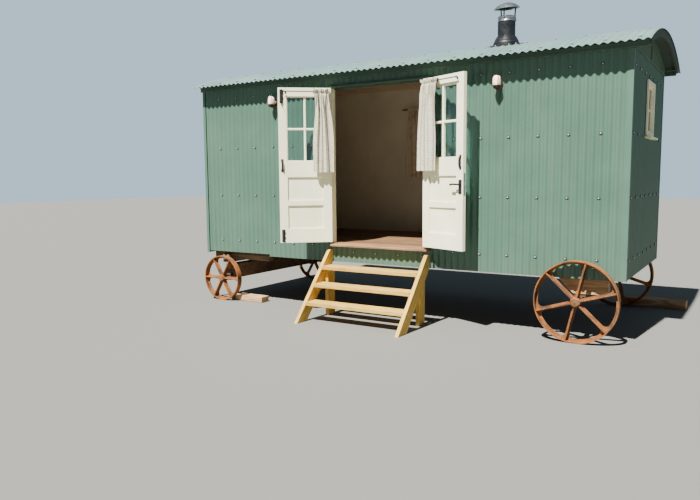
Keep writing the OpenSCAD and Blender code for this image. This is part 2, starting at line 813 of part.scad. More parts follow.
module leaf_pull() {
  yi = pin_out + leaf_t;
  translate([leaf_w - 38, yi, 875]) {
    for (z = [0, 110]) span([-8, 0, z - 6], [8, 26, z + 6]);
    span([-7, 20, -6], [7, 30, 116]);
  }
}

// the leaf pieces at rest: hand = 1 for the left leaf, -1 for the right one
module hang(hand) {
  translate([x0 + (hand > 0 ? pin_left : pin_right), pin_y, zb + leaf_z0])
    rotate([0, 0, hand > 0 ? -open_left : open_right]) handed(hand) children();
}

module left_leaf() {
  color("#eeeada") at_middle() hang(1) leaf_board();
}

module left_leaf_glass() {
  color("#9fb4b8") at_middle() hang(1) leaf_glass();
}

module left_leaf_fittings() {
  yi = pin_out + leaf_t;
  color("#1f2022") at_middle() hang(1) {
    knuckles();
    curtain_rail();
    leaf_pull();
    translate([leaf_w - 40, yi, leaf_h - 180]) span([-17, 0, 0], [17, 12, 160]);
    translate([leaf_w - 40, yi, 12]) span([-17, 0, 0], [17, 12, 150]);
  }
}

module curtain_block() {
  y = pin_out + leaf_t + 30 + rod_d / 2 + fit;
  z = leaf_h - rod_down + rod_d / 2 + 4;
  span([-curtain_past, y, z - curtain_l], [curtain_w - curtain_past, y + curtain_t, z]);
}

module left_curtain() {
  color("#e8e4d6") at_middle() hang(1) curtain_block();
}

module right_leaf() {
  color("#eeeada") at_middle() hang(-1) leaf_board();
}

module right_leaf_glass() {
  color("#9fb4b8") at_middle() hang(-1) leaf_glass();
}

module right_leaf_fittings() {
  yi = pin_out + leaf_t;
  color("#1f2022") at_middle() hang(-1) {
    knuckles();
    curtain_rail();
    leaf_pull();
    difference() {
      span([leaf_w - 58, yi, lever_z + 50 - plate_l], [leaf_w - 18, yi + 8, lever_z + 50]);
      translate([leaf_w - 38, yi - 1, lever_z]) rotate([-90, 0, 0]) cylinder(r = 12, h = 12);
    }
  }
}

module right_curtain() {
  color("#e8e4d6") at_middle() hang(-1) curtain_block();
}

module lever_handle() {
  yi = pin_out + leaf_t;
  color("#1f2022") at_middle() hang(-1) translate([leaf_w - 38, yi + 0.5, lever_z]) {
    rotate([-90, 0, 0]) cylinder(r = 9, h = 50);
    span([-115, 40, -8], [8, 52, 8]);
  }
}

// one opening between two spokes, drawn with its filleted corners
function wheel_gap(ro) =
  let (h = spoke_w / 2, part = 360 / spokes, cr = ro - flare_r, cy = h + flare_r,
    cx = sqrt(cr * cr - cy * cy), phi = atan2(cy, cx), n = 8,
    corner = [for (i = [0:n]) let (t = -90 + (phi + 90) * i / n) [cx + flare_r * cos(t), cy + flare_r * sin(t)]],
    rim = [for (i = [1:n - 1]) let (t = phi + (part - 2 * phi) * i / n) ro * [cos(t), sin(t)]],
    far = [for (i = [n:-1:0]) let (c = corner[i]) [c.x * cos(part) + c.y * sin(part), c.x * sin(part) - c.y * cos(part)]],
    near = h / sin(part / 2) * [cos(part / 2), sin(part / 2)])
  concat([near], corner, rim, far);

// a spoked wheel round the Y axis, outer rim face on y = 0
module wheel(r) {
  ri = r - tread_t;
  plate_z = rib_in + rib_d;
  back_z = plate_z + plate_t + hub_l / 2 - 20;
  rotate([-90, 0, 0]) {
    difference() {
      cylinder(r = r, h = tread_w, $fn = 128);
      translate([0, 0, -1]) cylinder(r = ri, h = tread_w + 2, $fn = 128);
    }
    translate([0, 0, plate_z]) linear_extrude(plate_t) difference() {
      circle(r = ri + 1, $fn = 128);
      circle(r = hub_r - 10);
      for (i = [0:spokes - 1]) rotate(i * 360 / spokes) polygon(wheel_gap(ri - web_w));
    }
    for (i = [0:spokes - 1]) rotate([0, 0, i * 360 / spokes])
      span([hub_r - 12, -rib_w / 2, rib_in], [ri + 1, rib_w / 2, plate_z + 1]);
    rotate_extrude()
      polygon([[0, -hub_out], [30, -hub_out], [43, 6 - hub_out], [hub_r, -2], [hub_r, back_z], [axle_r + axle_gap, back_z],
        [axle_r + axle_gap, 12], [0, 12]]);
  }
}

module wheel_at(xa, r, out, s, turn) {
  translate([x0 + xa, s * (body_w / 2 + out), r]) rotate([0, 0, s > 0 ? 180 : 0])
    rotate([0, -turn, 0]) wheel(r);
}

module wheel_front_left() {
  color("#7a4628") at_middle() wheel_at(axle_xl, wheel_rl, wheel_yl, -1, 0);
}

module wheel_back_left() {
  color("#7a4628") at_middle() wheel_at(axle_xl, wheel_rl, wheel_yl, 1, 0);
}

module wheel_front_right() {
  color("#7a4628") at_middle() wheel_at(axle_xr, wheel_rr, wheel_yr, -1, turn_r);
}

module wheel_back_right() {
  color("#7a4628") at_middle() wheel_at(axle_xr, wheel_rr, wheel_yr, 1, turn_r);
}

module step_sides() {
  leg_top = tread_first + 2 * tread_rise - tread_board - fit;
  k = stringer_w / cos(atan(steps_run / steps_h));
  back = steps_out - fit;
  drop = (back - k) * steps_h / steps_run;
  color("#d9c08a") at_middle() translate([x0 + steps_x0, yf - steps_out, 0]) {
    for (xa = [0, steps_w - stringer_t]) translate([xa, 0, 0]) rotate([90, 0, 90])
      linear_extrude(stringer_t)
        polygon([[0, 0], [steps_run, steps_h], [back, steps_h], [back, drop], [k, 0]]);
    for (xa = [stringer_t, steps_w - 2 * stringer_t])
      span([xa, steps_out - leg_out, 0], [xa + stringer_t, steps_out - leg_out + leg_w, leg_top]);
  }
}

module step_treads() {
  slope = steps_run / steps_h;
  color("#d9c08a") at_middle() translate([x0 + steps_x0 + stringer_t, yf - steps_out, 0])
    for (k = [0:2]) {
      z = tread_first + k * tread_rise;
      translate([0, z * slope - tread_nose, z - tread_board]) cube([steps_w - 2 * stringer_t, tread_depth, tread_board]);
    }
}

module wheel_chocks() {
  color("#a8895c") at_middle() {
    translate([x0 + axle_xl + chock_x, yf + tread_w - wheel_yl + wheel_clear, 0]) cube([chock_l, chock_w, chock_h]);
    translate([sleeper_x1 - sleeper_l, sleeper_y0, 0]) cube([sleeper_l, sleeper_w, sleeper_h]);
  }
}

chassis_timbers();
axles();
floor_boards();
door_sill();
front_wall_left();
front_wall_right();
front_wall_over_door();
back_wall();
end_walls();
cladding_left();
cladding_right();
cladding_door();
cladding_back();
cladding_ends();
corner_flashings();
roof_sheet();
roof_deck();
eave_boards();
gable_boards();
flue_flashing();
flue_pipe();
flue_cowl();
lamp_mounts();
lamp_glasses();
window_frames();
window_glass();
back_curtain();
iron_fittings();
door_frame();
left_leaf();
left_leaf_glass();
left_leaf_fittings();
left_curtain();
right_leaf();
right_leaf_glass();
right_leaf_fittings();
right_curtain();
lever_handle();
wheel_front_left();
wheel_back_left();
wheel_front_right();
wheel_back_right();
step_sides();
step_treads();
wheel_chocks();
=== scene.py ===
import math
import random
from contextlib import contextmanager
import bpy
from mathutils import Matrix, Vector


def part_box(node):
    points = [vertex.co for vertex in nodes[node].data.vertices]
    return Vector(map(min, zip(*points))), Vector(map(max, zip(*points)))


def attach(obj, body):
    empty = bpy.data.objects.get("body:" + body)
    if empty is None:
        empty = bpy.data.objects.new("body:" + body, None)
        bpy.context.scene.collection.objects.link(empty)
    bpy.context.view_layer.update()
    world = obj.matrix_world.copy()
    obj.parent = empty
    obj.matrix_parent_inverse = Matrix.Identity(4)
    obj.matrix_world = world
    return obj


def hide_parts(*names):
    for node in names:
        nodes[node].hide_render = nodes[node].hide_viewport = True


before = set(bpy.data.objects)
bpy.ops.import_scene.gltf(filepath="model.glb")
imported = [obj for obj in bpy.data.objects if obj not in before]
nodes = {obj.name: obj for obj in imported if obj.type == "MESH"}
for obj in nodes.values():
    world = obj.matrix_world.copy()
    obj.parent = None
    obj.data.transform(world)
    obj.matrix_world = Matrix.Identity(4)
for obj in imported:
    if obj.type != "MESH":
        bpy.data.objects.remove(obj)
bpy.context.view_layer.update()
dice = random.Random(11)
print("frame loaded")

# lengths in metres, from the hut's front left corner and the line that its body ends on below
hut = {"length": 5.528, "width": 2.134, "ground": 0.665, "floor": 0.205, "skin": 0.0183, "lining": 0.0933,
       "drip": 0.020}
leftEnd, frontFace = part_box("cladding_left")[0][:2]
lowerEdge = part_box("cladding_right")[0].z + hut["drip"]
ground = -hut["ground"]


def at(x, y, z):
    return Vector((leftEnd + x, frontFace + y, lowerEdge + z))


def ease(t, a=0.0, b=1.0):
    t = min(1.0, max(0.0, (t - a) / (b - a)))
    return t * t * (3 - 2 * t)


# node helpers: a node joins the tree of what feeds it, unless it is given one

def feed(made, feeds):
    for key, value in feeds.items():
        socket = made.inputs[key]
        if isinstance(value, bpy.types.NodeSocket):
            made.id_data.links.new(value, socket)
        else:
            socket.default_value = (*value, 1.0) if socket.type == "RGBA" else value


def addNode(kind, feeds, tree=None, **settings):
    tree = tree or next(v.node.id_data for v in feeds.values() if isinstance(v, bpy.types.NodeSocket))
    made = tree.nodes.new("ShaderNode" + kind)
    for key, value in settings.items():
        setattr(made, key, value)
    feed(made, feeds)
    return made.outputs


def source(neighbour, kind, output, **settings):
    return addNode(kind, {}, neighbour.id_data, **settings)[output]


def maths(kind, a, b=0.0, c=0.0, **settings):
    return addNode("Math", {0: a, 1: b, 2: c}, operation=kind, **settings)[0]


def plus(a, b):
    return maths("ADD", a, b)


def minus(a, b):
    return maths("SUBTRACT", a, b)


def times(a, b):
    return maths("MULTIPLY", a, b)


def axes(vector):
    return addNode("SeparateXYZ", {0: vector})


def clouds(vector, scale, detail, rough, distortion=0.0):
    feeds = {"Vector": vector, "Scale": scale, "Detail": detail, "Roughness": rough, "Distortion": distortion}
    return addNode("TexNoise", feeds)["Fac"]


def stretched(vector, factors):
    return addNode("VectorMath", {0: vector, 1: factors}, operation="MULTIPLY")[0]


def span(value, low, high, start=0.0, end=1.0):
    feeds = {"Value": value, "From Min": low, "From Max": high, "To Min": start, "To Max": end}
    return addNode("MapRange", feeds)[0]


def blendOf(factor, a, b, kind="MIX"):
    return addNode("Mix", {0: factor, 6: a, 7: b}, data_type="RGBA", blend_type=kind)[2]


def effect(name, feeds):
    return addNode("Group", feeds, node_tree=bpy.data.node_groups[name])


# camera, light and floor

photoView = {"spot": (6.611, -6.721, 1.001), "yaw": 32.21, "pitch": 6.25, "roll": -0.472, "lens": 33.70}
studio = {"sun": 17.0, "sunWidth": 1.0, "sunTone": (1.0, 0.965, 0.895), "travel": (0.11, 1.0, -1.58),
          "sky": (0.62, 0.81, 1.0), "skyPower": 0.165, "backdrop": 0.95, "mirrored": 0.35,
          "floorTone": (0.155, 0.155, 0.145), "floorDullness": 0.9, "floorSize": 90.0}


def addCamera(plan):
    yaw, pitch, roll = (math.radians(plan[k]) for k in ("yaw", "pitch", "roll"))
    ahead = Vector((-math.sin(yaw) * math.cos(pitch), math.cos(yaw) * math.cos(pitch), -math.sin(pitch)))
    level = Vector((math.cos(yaw), math.sin(yaw), 0))
    up = level.cross(ahead)
    across = level * math.cos(roll) + up * math.sin(roll)
    over = up * math.cos(roll) - level * math.sin(roll)
    turn = Matrix((across, over, -ahead)).transposed()
    bpy.ops.object.camera_add(location=at(*plan["spot"]), rotation=turn.to_euler())
    bpy.context.object.data.lens = plan["lens"]
    bpy.context.scene.camera = bpy.context.object


def addStudio(plan):
    bpy.ops.object.light_add(type="SUN", location=(0, -5, 8))
    sun = bpy.context.object
    sun.rotation_euler = Vector(plan["travel"]).to_track_quat("-Z", "Y").to_euler()
    sun.data.energy = plan["sun"]
    sun.data.angle = math.radians(plan["sunWidth"])
    sun.data.color = plan["sunTone"]

    world = bpy.data.worlds.new("sky")
    world.use_nodes = True
    sky = world.node_tree.nodes["Background"]
    path = addNode("LightPath", {}, world.node_tree)
    seen = maths("MULTIPLY_ADD", path["Is Glossy Ray"], plan["mirrored"], path["Is Camera Ray"])
    power = span(seen, 0.0, 1.0, plan["skyPower"], plan["backdrop"])  # the backdrop is paler than its light
    feed(sky, {"Color": plan["sky"], "Strength": power})
    bpy.context.scene.world = world

    bpy.ops.mesh.primitive_plane_add(size=plan["floorSize"], location=(0, 0, 0))
    floor = bpy.context.object
    floor.name = "studioFloor"
    tone = bpy.data.materials.new("studioFloor")
    tone.use_nodes = True
    feed(tone.node_tree.nodes["Principled BSDF"], {"Base Color": plan["floorTone"],
                                                   "Roughness": plan["floorDullness"]})
    floor.data.materials.append(tone)


addCamera(photoView)
addStudio(studio)
print("camera and light placed")


# effects that several finishes share

def newGroup(name, inputs, outputs):
    tree = bpy.data.node_groups.new(name, "ShaderNodeTree")
    for key, value in {"Vector": (0, 0, 0), **inputs}.items():
        kind = "Vector" if key == "Vector" else "Color" if isinstance(value, tuple) else "Float"
        socket = tree.interface.new_socket(name=key, in_out="INPUT", socket_type="NodeSocket" + kind)
        socket.default_value = (*value, 1.0) if kind == "Color" else value
    for key in outputs:
        kind = "Color" if key == "Color" else "Float"
        tree.interface.new_socket(name=key, in_out="OUTPUT", socket_type="NodeSocket" + kind)
    return tree.nodes.new("NodeGroupInput").outputs, tree.nodes.new("NodeGroupOutput")


def makeWeathering():
    given, out = newGroup("weathering", {
        "Color": (0.5, 0.5, 0.5), "Dirt": (0.10, 0.09, 0.07), "Streaks": 0.3, "Clouding": 0.3, "Splash": 0.3,
        "Splash Height": 0.9}, ("Color", "Roughness", "Height"))
    vector, color = given["Vector"], given["Color"]
    cloud = span(clouds(vector, 1.9, 6, 0.6), 0.36, 0.66)
    speck = clouds(vector, 95, 3, 0.6)
    run = clouds(stretched(vector, (17, 17, 0.9)), 1.0, 6, 0.65, 0.4)
    run = times(span(run, 0.50, 0.74), given["Streaks"])
    wash = times(minus(given["Splash Height"], axes(vector)["Z"]), 2.2)
    wash = plus(wash, clouds(vector, 9, 5, 0.7))
    wash = times(span(wash, 0.55, 1.6), given["Splash"])
    mask = maths("MAXIMUM", run, wash)
    pale = blendOf(1.0, color, (1.13, 1.13, 1.12), "MULTIPLY")
    deep = blendOf(1.0, color, (0.84, 0.85, 0.84), "MULTIPLY")
    shade = blendOf(given["Clouding"], color, blendOf(cloud, deep, pale))
    feed(out, {"Color": blendOf(mask, shade, given["Dirt"]),
               "Roughness": plus(times(mask, 0.35), times(cloud, 0.08)),
               "Height": plus(times(speck, 0.6), times(cloud, 0.4))})


def makeGrain():
    given, out = newGroup("timber grain", {
        "Pale": (0.6, 0.4, 0.2), "Dark": (0.3, 0.18, 0.08), "Ring Scale": 9.0, "Knots": 0.5},
        ("Color", "Height", "Mask"))
    vector = given["Vector"]
    bend = clouds(stretched(vector, (0.9, 7.0, 7.0)), 0.8, 3, 0.5, 0.6)
    rings = span(maths("SINE", times(bend, times(given["Ring Scale"], 6.0))), -1, 1)
    fibre = clouds(stretched(vector, (7, 190, 190)), 1.0, 3, 0.7)
    cells = addNode("TexVoronoi", {"Vector": stretched(vector, (1.6, 7, 7)), "Scale": 1.0})
    knot = times(span(cells["Distance"], 0.16, 0.05), given["Knots"])
    mask = maths("MAXIMUM", plus(times(rings, 0.62), times(fibre, 0.45)), knot, use_clamp=True)
    feed(out, {"Color": blendOf(mask, given["Pale"], given["Dark"]),
               "Height": plus(times(fibre, 0.7), times(rings, 0.3)), "Mask": mask})


def makeRust():
    given, out = newGroup("rust scale", {
        "Fresh": (0.42, 0.15, 0.045), "Old": (0.13, 0.055, 0.03), "Worn": (0.42, 0.24, 0.19)},
        ("Color", "Roughness", "Height"))
    vector = given["Vector"]
    broad = span(clouds(vector, 6.5, 7, 0.62, 0.5), 0.38, 0.62)
    patch = span(clouds(vector, 15, 5, 0.6, 1.2), 0.55, 0.66)
    grit = clouds(vector, 210, 4, 0.7)
    pits = addNode("TexVoronoi", {"Vector": vector, "Scale": 120.0})["Distance"]
    shade = blendOf(broad, given["Old"], given["Fresh"])
    shade = blendOf(times(patch, 0.75), shade, given["Worn"])
    shade = blendOf(times(span(grit, 0.45, 0.7), 0.45), shade, (0.06, 0.03, 0.02))
    feed(out, {"Color": shade, "Roughness": span(grit, 0.3, 0.7, 0.72, 0.98),
               "Height": plus(grit, times(pits, 0.8))})


def makeEdgeRub():
    given, out = newGroup("rubbed edges", {"Amount": 0.5}, ("Mask",))
    edge = source(out, "Attribute", "Fac", attribute_name="edge")
    rub = span(clouds(given["Vector"], 26, 5, 0.7, 0.5), 0.52, 0.60)
    feed(out, {"Mask": times(times(rub, edge), given["Amount"])})


def makeWeave():
    given, out = newGroup("cloth weave", {"Threads": 700.0}, ("Height", "Mask"))
    along = axes(given["Vector"])
    warp, weft = (maths("SINE", times(along[k], times(given["Threads"], math.tau))) for k in ("X", "Y"))
    slub = clouds(stretched(given["Vector"], (300, 25, 1)), 1.0, 3, 0.6)
    feed(out, {"Height": plus(span(times(warp, weft), -1, 1), slub), "Mask": slub})


for makeEffect in (makeWeathering, makeGrain, makeRust, makeEdgeRub, makeWeave):
    makeEffect()
print("shared effects made")


# finishes

def startFinish(name, levels):
    made = bpy.data.materials.new(name)
    made.use_nodes = True
    shader = made.node_tree.nodes["Principled BSDF"]
    feed(shader, levels)
    return made, shader, source(shader, "TexCoord", "Object")


def wire(shader, color, roughness, height, depth, strength):
    bump = addNode("Bump", {"Height": height, "Distance": depth, "Strength": strength})["Normal"]
    feed(shader, {"Base Color": color, "Roughness": roughness, "Normal": bump})


def weathered(vector, color, clouding, plan, splashHeight):
    return effect("weathering", {"Vector": vector, "Color": color, "Clouding": clouding, "Dirt": plan["dirt"],
                                 "Streaks": plan["streaks"], "Splash": plan["splash"],
                                 "Splash Height": splashHeight})


def paintedSheet(name, **plan):
    made, shader, vector = startFinish(name, {"Specular IOR Level": 0.45})
    worn = weathered(vector, plan["color"], plan["clouding"], plan, 0.92)
    wire(shader, worn["Color"], plus(worn["Roughness"], plan["roughness"]), worn["Height"], 0.0004, 0.5)
    return made


def overhangGreenWithShade(color, vector, brush, plan):
    # beyond the walls the boards are painted green, a darker green than the eave trim's that is painted shade
    # on the verge and the soffit
    place = axes(vector)
    past = []
    for key, corner, size in (("X", leftEnd, hut["length"]), ("Y", frontFace, hut["width"])):
        away = maths("ABSOLUTE", minus(place[key], corner + size / 2))
        past.append(maths("GREATER_THAN", away, size / 2 + plan["past"]))
    green = blendOf(span(brush, 0.3, 0.7), plan["outside"], (0.030, 0.058, 0.040))
    return blendOf(maths("MAXIMUM", *past), color, green)


def paintedWood(name, **plan):
    made, shader, vector = startFinish(name, {"Specular IOR Level": 0.45})
    own = source(shader, "Attribute", "Vector", attribute_name="grain") if plan["boards"] else vector
    wood = effect("timber grain", {"Vector": own, "Pale": (0.45, 0.30, 0.17), "Dark": (0.22, 0.14, 0.08)})
    worn = weathered(vector, plan["color"], 0.5, plan, 0.98)
    rub = effect("rubbed edges", {"Vector": vector, "Amount": plan["rub"]})["Mask"]
    color = blendOf(rub, worn["Color"], wood["Color"])
    brush = clouds(stretched(own, (9, 260, 260)), 1.0, 2, 0.6)
    height = plus(times(brush, 0.6), times(wood["Height"], 0.4))
    if "outside" in plan:
        color = overhangGreenWithShade(color, vector, brush, plan)
    if "joints" in plan:  # sunk lines between narrow boards
        line = span(maths("PINGPONG", axes(vector)["Y"], plan["joints"] / 2), 0.0, 0.003)
        color = blendOf(span(line, 0, 1, 0.45, 0), color, (0.12, 0.10, 0.07))
        height = plus(height, times(line, 3.0))
    wire(shader, color, plus(worn["Roughness"], plan["roughness"]), height, 0.0006, 0.35)
    return made


def bareWood(name, shine=0.35, newer=(), **changes):
    plan = {"streaks": 0.0, "splash": 0.0, **changes}
    made, shader, vector = startFinish(name, {"Specular IOR Level": shine})
    own = source(shader, "Attribute", "Vector", attribute_name="grain")
    wood = effect("timber grain", {"Vector": own, "Pale": plan["pale"], "Dark": plan["dark"],
                                   "Ring Scale": plan["rings"], "Knots": plan["knots"]})
    board = source(shader, "Attribute", "Fac", attribute_name="board")
    board = blendOf(board, (0.82, 0.80, 0.78), (1.16, 1.12, 1.06))
    varied = blendOf(1.0, wood["Color"], board, "MULTIPLY")
    worn = weathered(vector, varied, 0.6, plan, 0.16)
    rub = effect("rubbed edges", {"Vector": vector, "Amount": 0.5})["Mask"]
    color = blendOf(rub, worn["Color"], plan["rubbed"])
    for x0, x1, top, lighter in newer:  # newer timbers among the old ones
        place = axes(vector)
        inside = maths("GREATER_THAN", place["X"], leftEnd + x0)
        inside = times(inside, maths("LESS_THAN", place["X"], leftEnd + x1))
        inside = times(inside, maths("LESS_THAN", place["Z"], lowerEdge + top))
        color = blendOf(inside, color, blendOf(1.0, color, lighter, "MULTIPLY"))
    wire(shader, color, plus(times(wood["Mask"], 0.12), plan["roughness"]), wood["Height"], 0.0009, 0.6)
    return made


def rustyIron(name, fresh, old, worn, edge):
    made, shader, vector = startFinish(name, {"Specular IOR Level": 0.3})
    scale = effect("rust scale", {"Vector": vector, "Fresh": fresh, "Old": old, "Worn": worn})
    rub = effect("rubbed edges", {"Vector": vector, "Amount": 0.7})["Mask"]
    wire(shader, blendOf(rub, scale["Color"], edge), scale["Roughness"], scale["Height"], 0.0014, 0.7)
    return made


def metalFinish(name, color, tarnish, roughness, metallic=1.0, rub=0.5, grit=0.2, bare=(0.8, 0.8, 0.8)):
    made, shader, vector = startFinish(name, {"Specular IOR Level": 0.5, "Metallic": metallic})
    smudge = span(clouds(vector, 22, 6, 0.65), 0.35, 0.7)
    rubbed = effect("rubbed edges", {"Vector": vector, "Amount": rub})["Mask"]
    color = blendOf(rubbed, blendOf(smudge, color, tarnish), bare)
    rough = span(smudge, 0, 1, roughness, roughness + 0.22)
    wire(shader, color, rough, clouds(vector, 420, 3, 0.6), 0.0002, grit)
    return made


def glassFinish(name, color, roughness, smear):
    made, shader, vector = startFinish(name, {"Transmission Weight": 1.0, "IOR": 1.45, "Base Color": color})
    feed(shader, {"Roughness": span(clouds(vector, 7, 5, 0.6), 0.45, 0.8, roughness, roughness + smear)})
    shadow = source(shader, "LightPath", "Is Shadow Ray")
    clear = addNode("BsdfTransparent", {"Color": color}, made.node_tree)["BSDF"]
    chosen = addNode("MixShader", {0: shadow, 1: shader.outputs["BSDF"], 2: clear})[0]
    feed(made.node_tree.nodes["Material Output"], {"Surface": chosen})
    return made


def clothFinish(name, color, ink, shade, creaseShade, sprig):
    made, shader, _ = startFinish(name, {"Specular IOR Level": 0.15, "Sheen Weight": 0.35,
                                         "Sheen Roughness": 0.5})
    uv = source(shader, "UVMap", "UV", uv_map="cloth")
    weave = effect("cloth weave", {"Vector": uv, "Threads": 620.0})
    sprigs = addNode("TexVoronoi", {"Vector": uv, "Scale": sprig, "Randomness": 0.55})["Distance"]
    sprigs = plus(sprigs, times(clouds(uv, sprig * 5, 3, 0.6, 0.8), 0.5))
    printed = blendOf(times(span(sprigs, 0.74, 0.40), 0.60), color, ink)
    printed = blendOf(times(weave["Mask"], 0.18), printed, shade)
    stitch = span(maths("ABSOLUTE", minus(axes(uv)["Y"], 0.042)), 0.0, 0.0022, 1.0, 0.0)
    printed = blendOf(times(stitch, 0.35), printed, shade)
    # painted shade: the valleys of the folds are darkened
    hollow = source(shader, "Attribute", "Fac", attribute_name="hollow")
    printed = blendOf(times(hollow, 0.75), printed, creaseShade)
    height = minus(weave["Height"], times(stitch, 2.0))
    wire(shader, printed, span(weave["Mask"], 0.2, 0.8, 0.82, 0.95), height, 0.0004, 0.5)
    return made


cream = {"color": (0.98, 0.965, 0.70), "dirt": (0.30, 0.26, 0.19), "streaks": 0.10, "splash": 0.10, "rub": 0.30,
         "roughness": 0.36, "boards": True}
plain = {**cream, "rub": 0.0, "splash": 0.0, "boards": False}
finishes = {
    "sheet": paintedSheet("sageSheet", color=(0.066, 0.140, 0.101), dirt=(0.13, 0.14, 0.10), streaks=0.22,
                          clouding=0.5, splash=0.30, roughness=0.40),
    "roof": paintedSheet("chalkyRoof", color=(0.122, 0.205, 0.200), dirt=(0.20, 0.23, 0.19), streaks=0.30,
                         clouding=0.9, splash=0.0, roughness=0.52),
    # the eave trim's green is lighter than the same paint past the walls: painted light for light bounced up
    # from the ground
    "fascia": paintedWood("darkGreenBoards", color=(0.048, 0.094, 0.064), dirt=(0.05, 0.06, 0.045),
                          streaks=0.25, splash=0.0, rub=0.35, roughness=0.34, boards=True),
    # the ribs past the wall take a darker green: painted shade on the verge
    "gable": paintedWood("gableGreen", color=(0.060, 0.120, 0.075), dirt=(0.05, 0.06, 0.04), streaks=0.2,
                         splash=0.0, rub=0.0, roughness=0.72, boards=False, outside=(0.024, 0.046, 0.028),
                         past=0.03, joints=0.14),
    "cream": paintedWood("creamGloss", **cream),
    "lining": paintedWood("liningBoards", **{**plain, "color": (0.68, 0.64, 0.50), "roughness": 0.55}),
    # the boarding past the walls takes a dark green that is part paint, part painted shade
    "deck": paintedWood("roofBoarding", **{**plain, "color": (0.66, 0.54, 0.38), "roughness": 0.6},
                        outside=(0.026, 0.052, 0.032), past=-0.03, joints=0.12),
    "floor": bareWood("floorPlanks", pale=(0.21, 0.115, 0.050), dark=(0.10, 0.052, 0.024), rings=9, knots=0.5,
                      rubbed=(0.25, 0.16, 0.09), dirt=(0.08, 0.05, 0.03), roughness=0.58, shine=0.5),
    "sill": bareWood("sillHardwood", pale=(0.27, 0.150, 0.078), dark=(0.15, 0.075, 0.038), rings=13, knots=0.0,
                     rubbed=(0.42, 0.32, 0.23), dirt=(0.22, 0.15, 0.10), streaks=0.15,
                     roughness=0.60, shine=0.5),
    "pine": bareWood("stepPine", pale=(0.68, 0.47, 0.105), dark=(0.46, 0.27, 0.055), rings=8, knots=0.8,
                     rubbed=(0.80, 0.62, 0.30), dirt=(0.30, 0.22, 0.12), streaks=0.12, splash=0.35,
                     roughness=0.70),
    "darkTimber": bareWood("chassisTimber", pale=(0.115, 0.078, 0.05), dark=(0.05, 0.033, 0.022), rings=8,
                           knots=0.4, rubbed=(0.20, 0.14, 0.09), dirt=(0.05, 0.04, 0.03), streaks=0.2,
                           roughness=0.75, newer=((4.7, 5.5, -0.036, (5.2, 4.8, 3.8)),
                                                  (0.0, 1.05, -0.036, (2.2, 2.0, 1.7)))),
    "block": bareWood("sleeperWood", pale=(0.56, 0.37, 0.22), dark=(0.28, 0.165, 0.09), rings=7, knots=0.8,
                      rubbed=(0.52, 0.40, 0.26), dirt=(0.10, 0.08, 0.055), streaks=0.3, splash=0.5,
                      roughness=0.8),
    "rust": rustyIron("wheelRust", fresh=(0.33, 0.115, 0.024), old=(0.088, 0.044, 0.021),
                      worn=(0.20, 0.120, 0.068), edge=(0.32, 0.19, 0.10)),
    "axleIron": rustyIron("axleIron", fresh=(0.12, 0.06, 0.035), old=(0.035, 0.026, 0.022),
                          worn=(0.09, 0.07, 0.06), edge=(0.16, 0.10, 0.07)),
    "blackIron": metalFinish("blackIron", (0.018, 0.018, 0.019), (0.032, 0.029, 0.027), 0.38, metallic=0.35,
                             grit=0.35, bare=(0.16, 0.15, 0.14)),
    "flue": metalFinish("flueBlack", (0.010, 0.012, 0.016), (0.020, 0.022, 0.027), 0.30, metallic=0.3, rub=0.3,
                        bare=(0.2, 0.2, 0.2)),
    "steel": metalFinish("bareSteel", (0.62, 0.63, 0.64), (0.40, 0.40, 0.40), 0.24, rub=0.4, grit=0.15),
    "cowlSteel": metalFinish("cowlSteel", (0.50, 0.51, 0.53), (0.26, 0.27, 0.28), 0.22, grit=0.12),
    "zinc": metalFinish("screwZinc", (0.060, 0.075, 0.066), (0.035, 0.038, 0.034), 0.42, metallic=0.5, rub=0.8,
                        grit=0.3, bare=(0.35, 0.35, 0.34)),
    "brightZinc": metalFinish("brightZinc", (0.74, 0.76, 0.74), (0.50, 0.52, 0.49), 0.30, metallic=0.35,
                              rub=0.4),
    "copper": metalFinish("lampCopper", (0.11, 0.075, 0.055), (0.05, 0.038, 0.03), 0.26, grit=0.15,
                          bare=(0.8, 0.55, 0.4)),
    "rubber": metalFinish("flashingRubber", (0.006, 0.007, 0.009), (0.014, 0.015, 0.018), 0.30, metallic=0.0,
                          rub=0.2, grit=0.6, bare=(0.04, 0.04, 0.045)),
    "bulb": metalFinish("lampFrost", (0.70, 0.50, 0.42), (0.85, 0.80, 0.74), 0.22, metallic=0.0, rub=0.0,
                        grit=0.1, bare=(0.9, 0.9, 0.88)),
    # a green tint darker than clear glass, which also paints shade on what is seen through the panes and where
    # their light falls
    "pane": glassFinish("windowGlass", (0.66, 0.74, 0.76), 0.0, 0.02),
    "jar": glassFinish("jarGlass", (1.0, 0.96, 0.94), 0.02, 0.06),
    "drape": clothFinish("creamPrint", (0.62, 0.59, 0.46), ink=(0.24, 0.22, 0.18), shade=(0.44, 0.41, 0.32),
                         creaseShade=(0.20, 0.18, 0.13), sprig=32.0),
    "tawny": clothFinish("tawnyCloth", (0.70, 0.60, 0.45), ink=(0.38, 0.28, 0.19), shade=(0.42, 0.34, 0.24),
                         creaseShade=(0.40, 0.32, 0.22), sprig=13.0),
}
print("finishes made")


# modelling helpers

def deselect():
    bpy.ops.object.select_all(action="DESELECT")


def pick(*objs):
    deselect()
    for obj in objs:
        obj.select_set(True)
    bpy.context.view_layer.objects.active = objs[0]


@contextmanager
def editing(obj):
    pick(obj)
    bpy.ops.object.mode_set(mode="EDIT")
    bpy.ops.mesh.select_all(action="SELECT")
    yield
    bpy.ops.object.mode_set(mode="OBJECT")


def linked(name, data):
    obj = bpy.data.objects.new(name, data)
    bpy.context.collection.objects.link(obj)
    return obj


def applied(obj, kind, **settings):
    made = obj.modifiers.new(kind.lower(), kind)
    for key, value in settings.items():
        setattr(made, key, value)
    bpy.ops.object.modifier_apply(modifier=made.name)


def facing(direction, point):
    # turns what was made along Z to a direction, and moves it to a point
    return Matrix.Translation(point) @ Vector(direction).to_track_quat("Z", "Y").to_matrix().to_4x4()


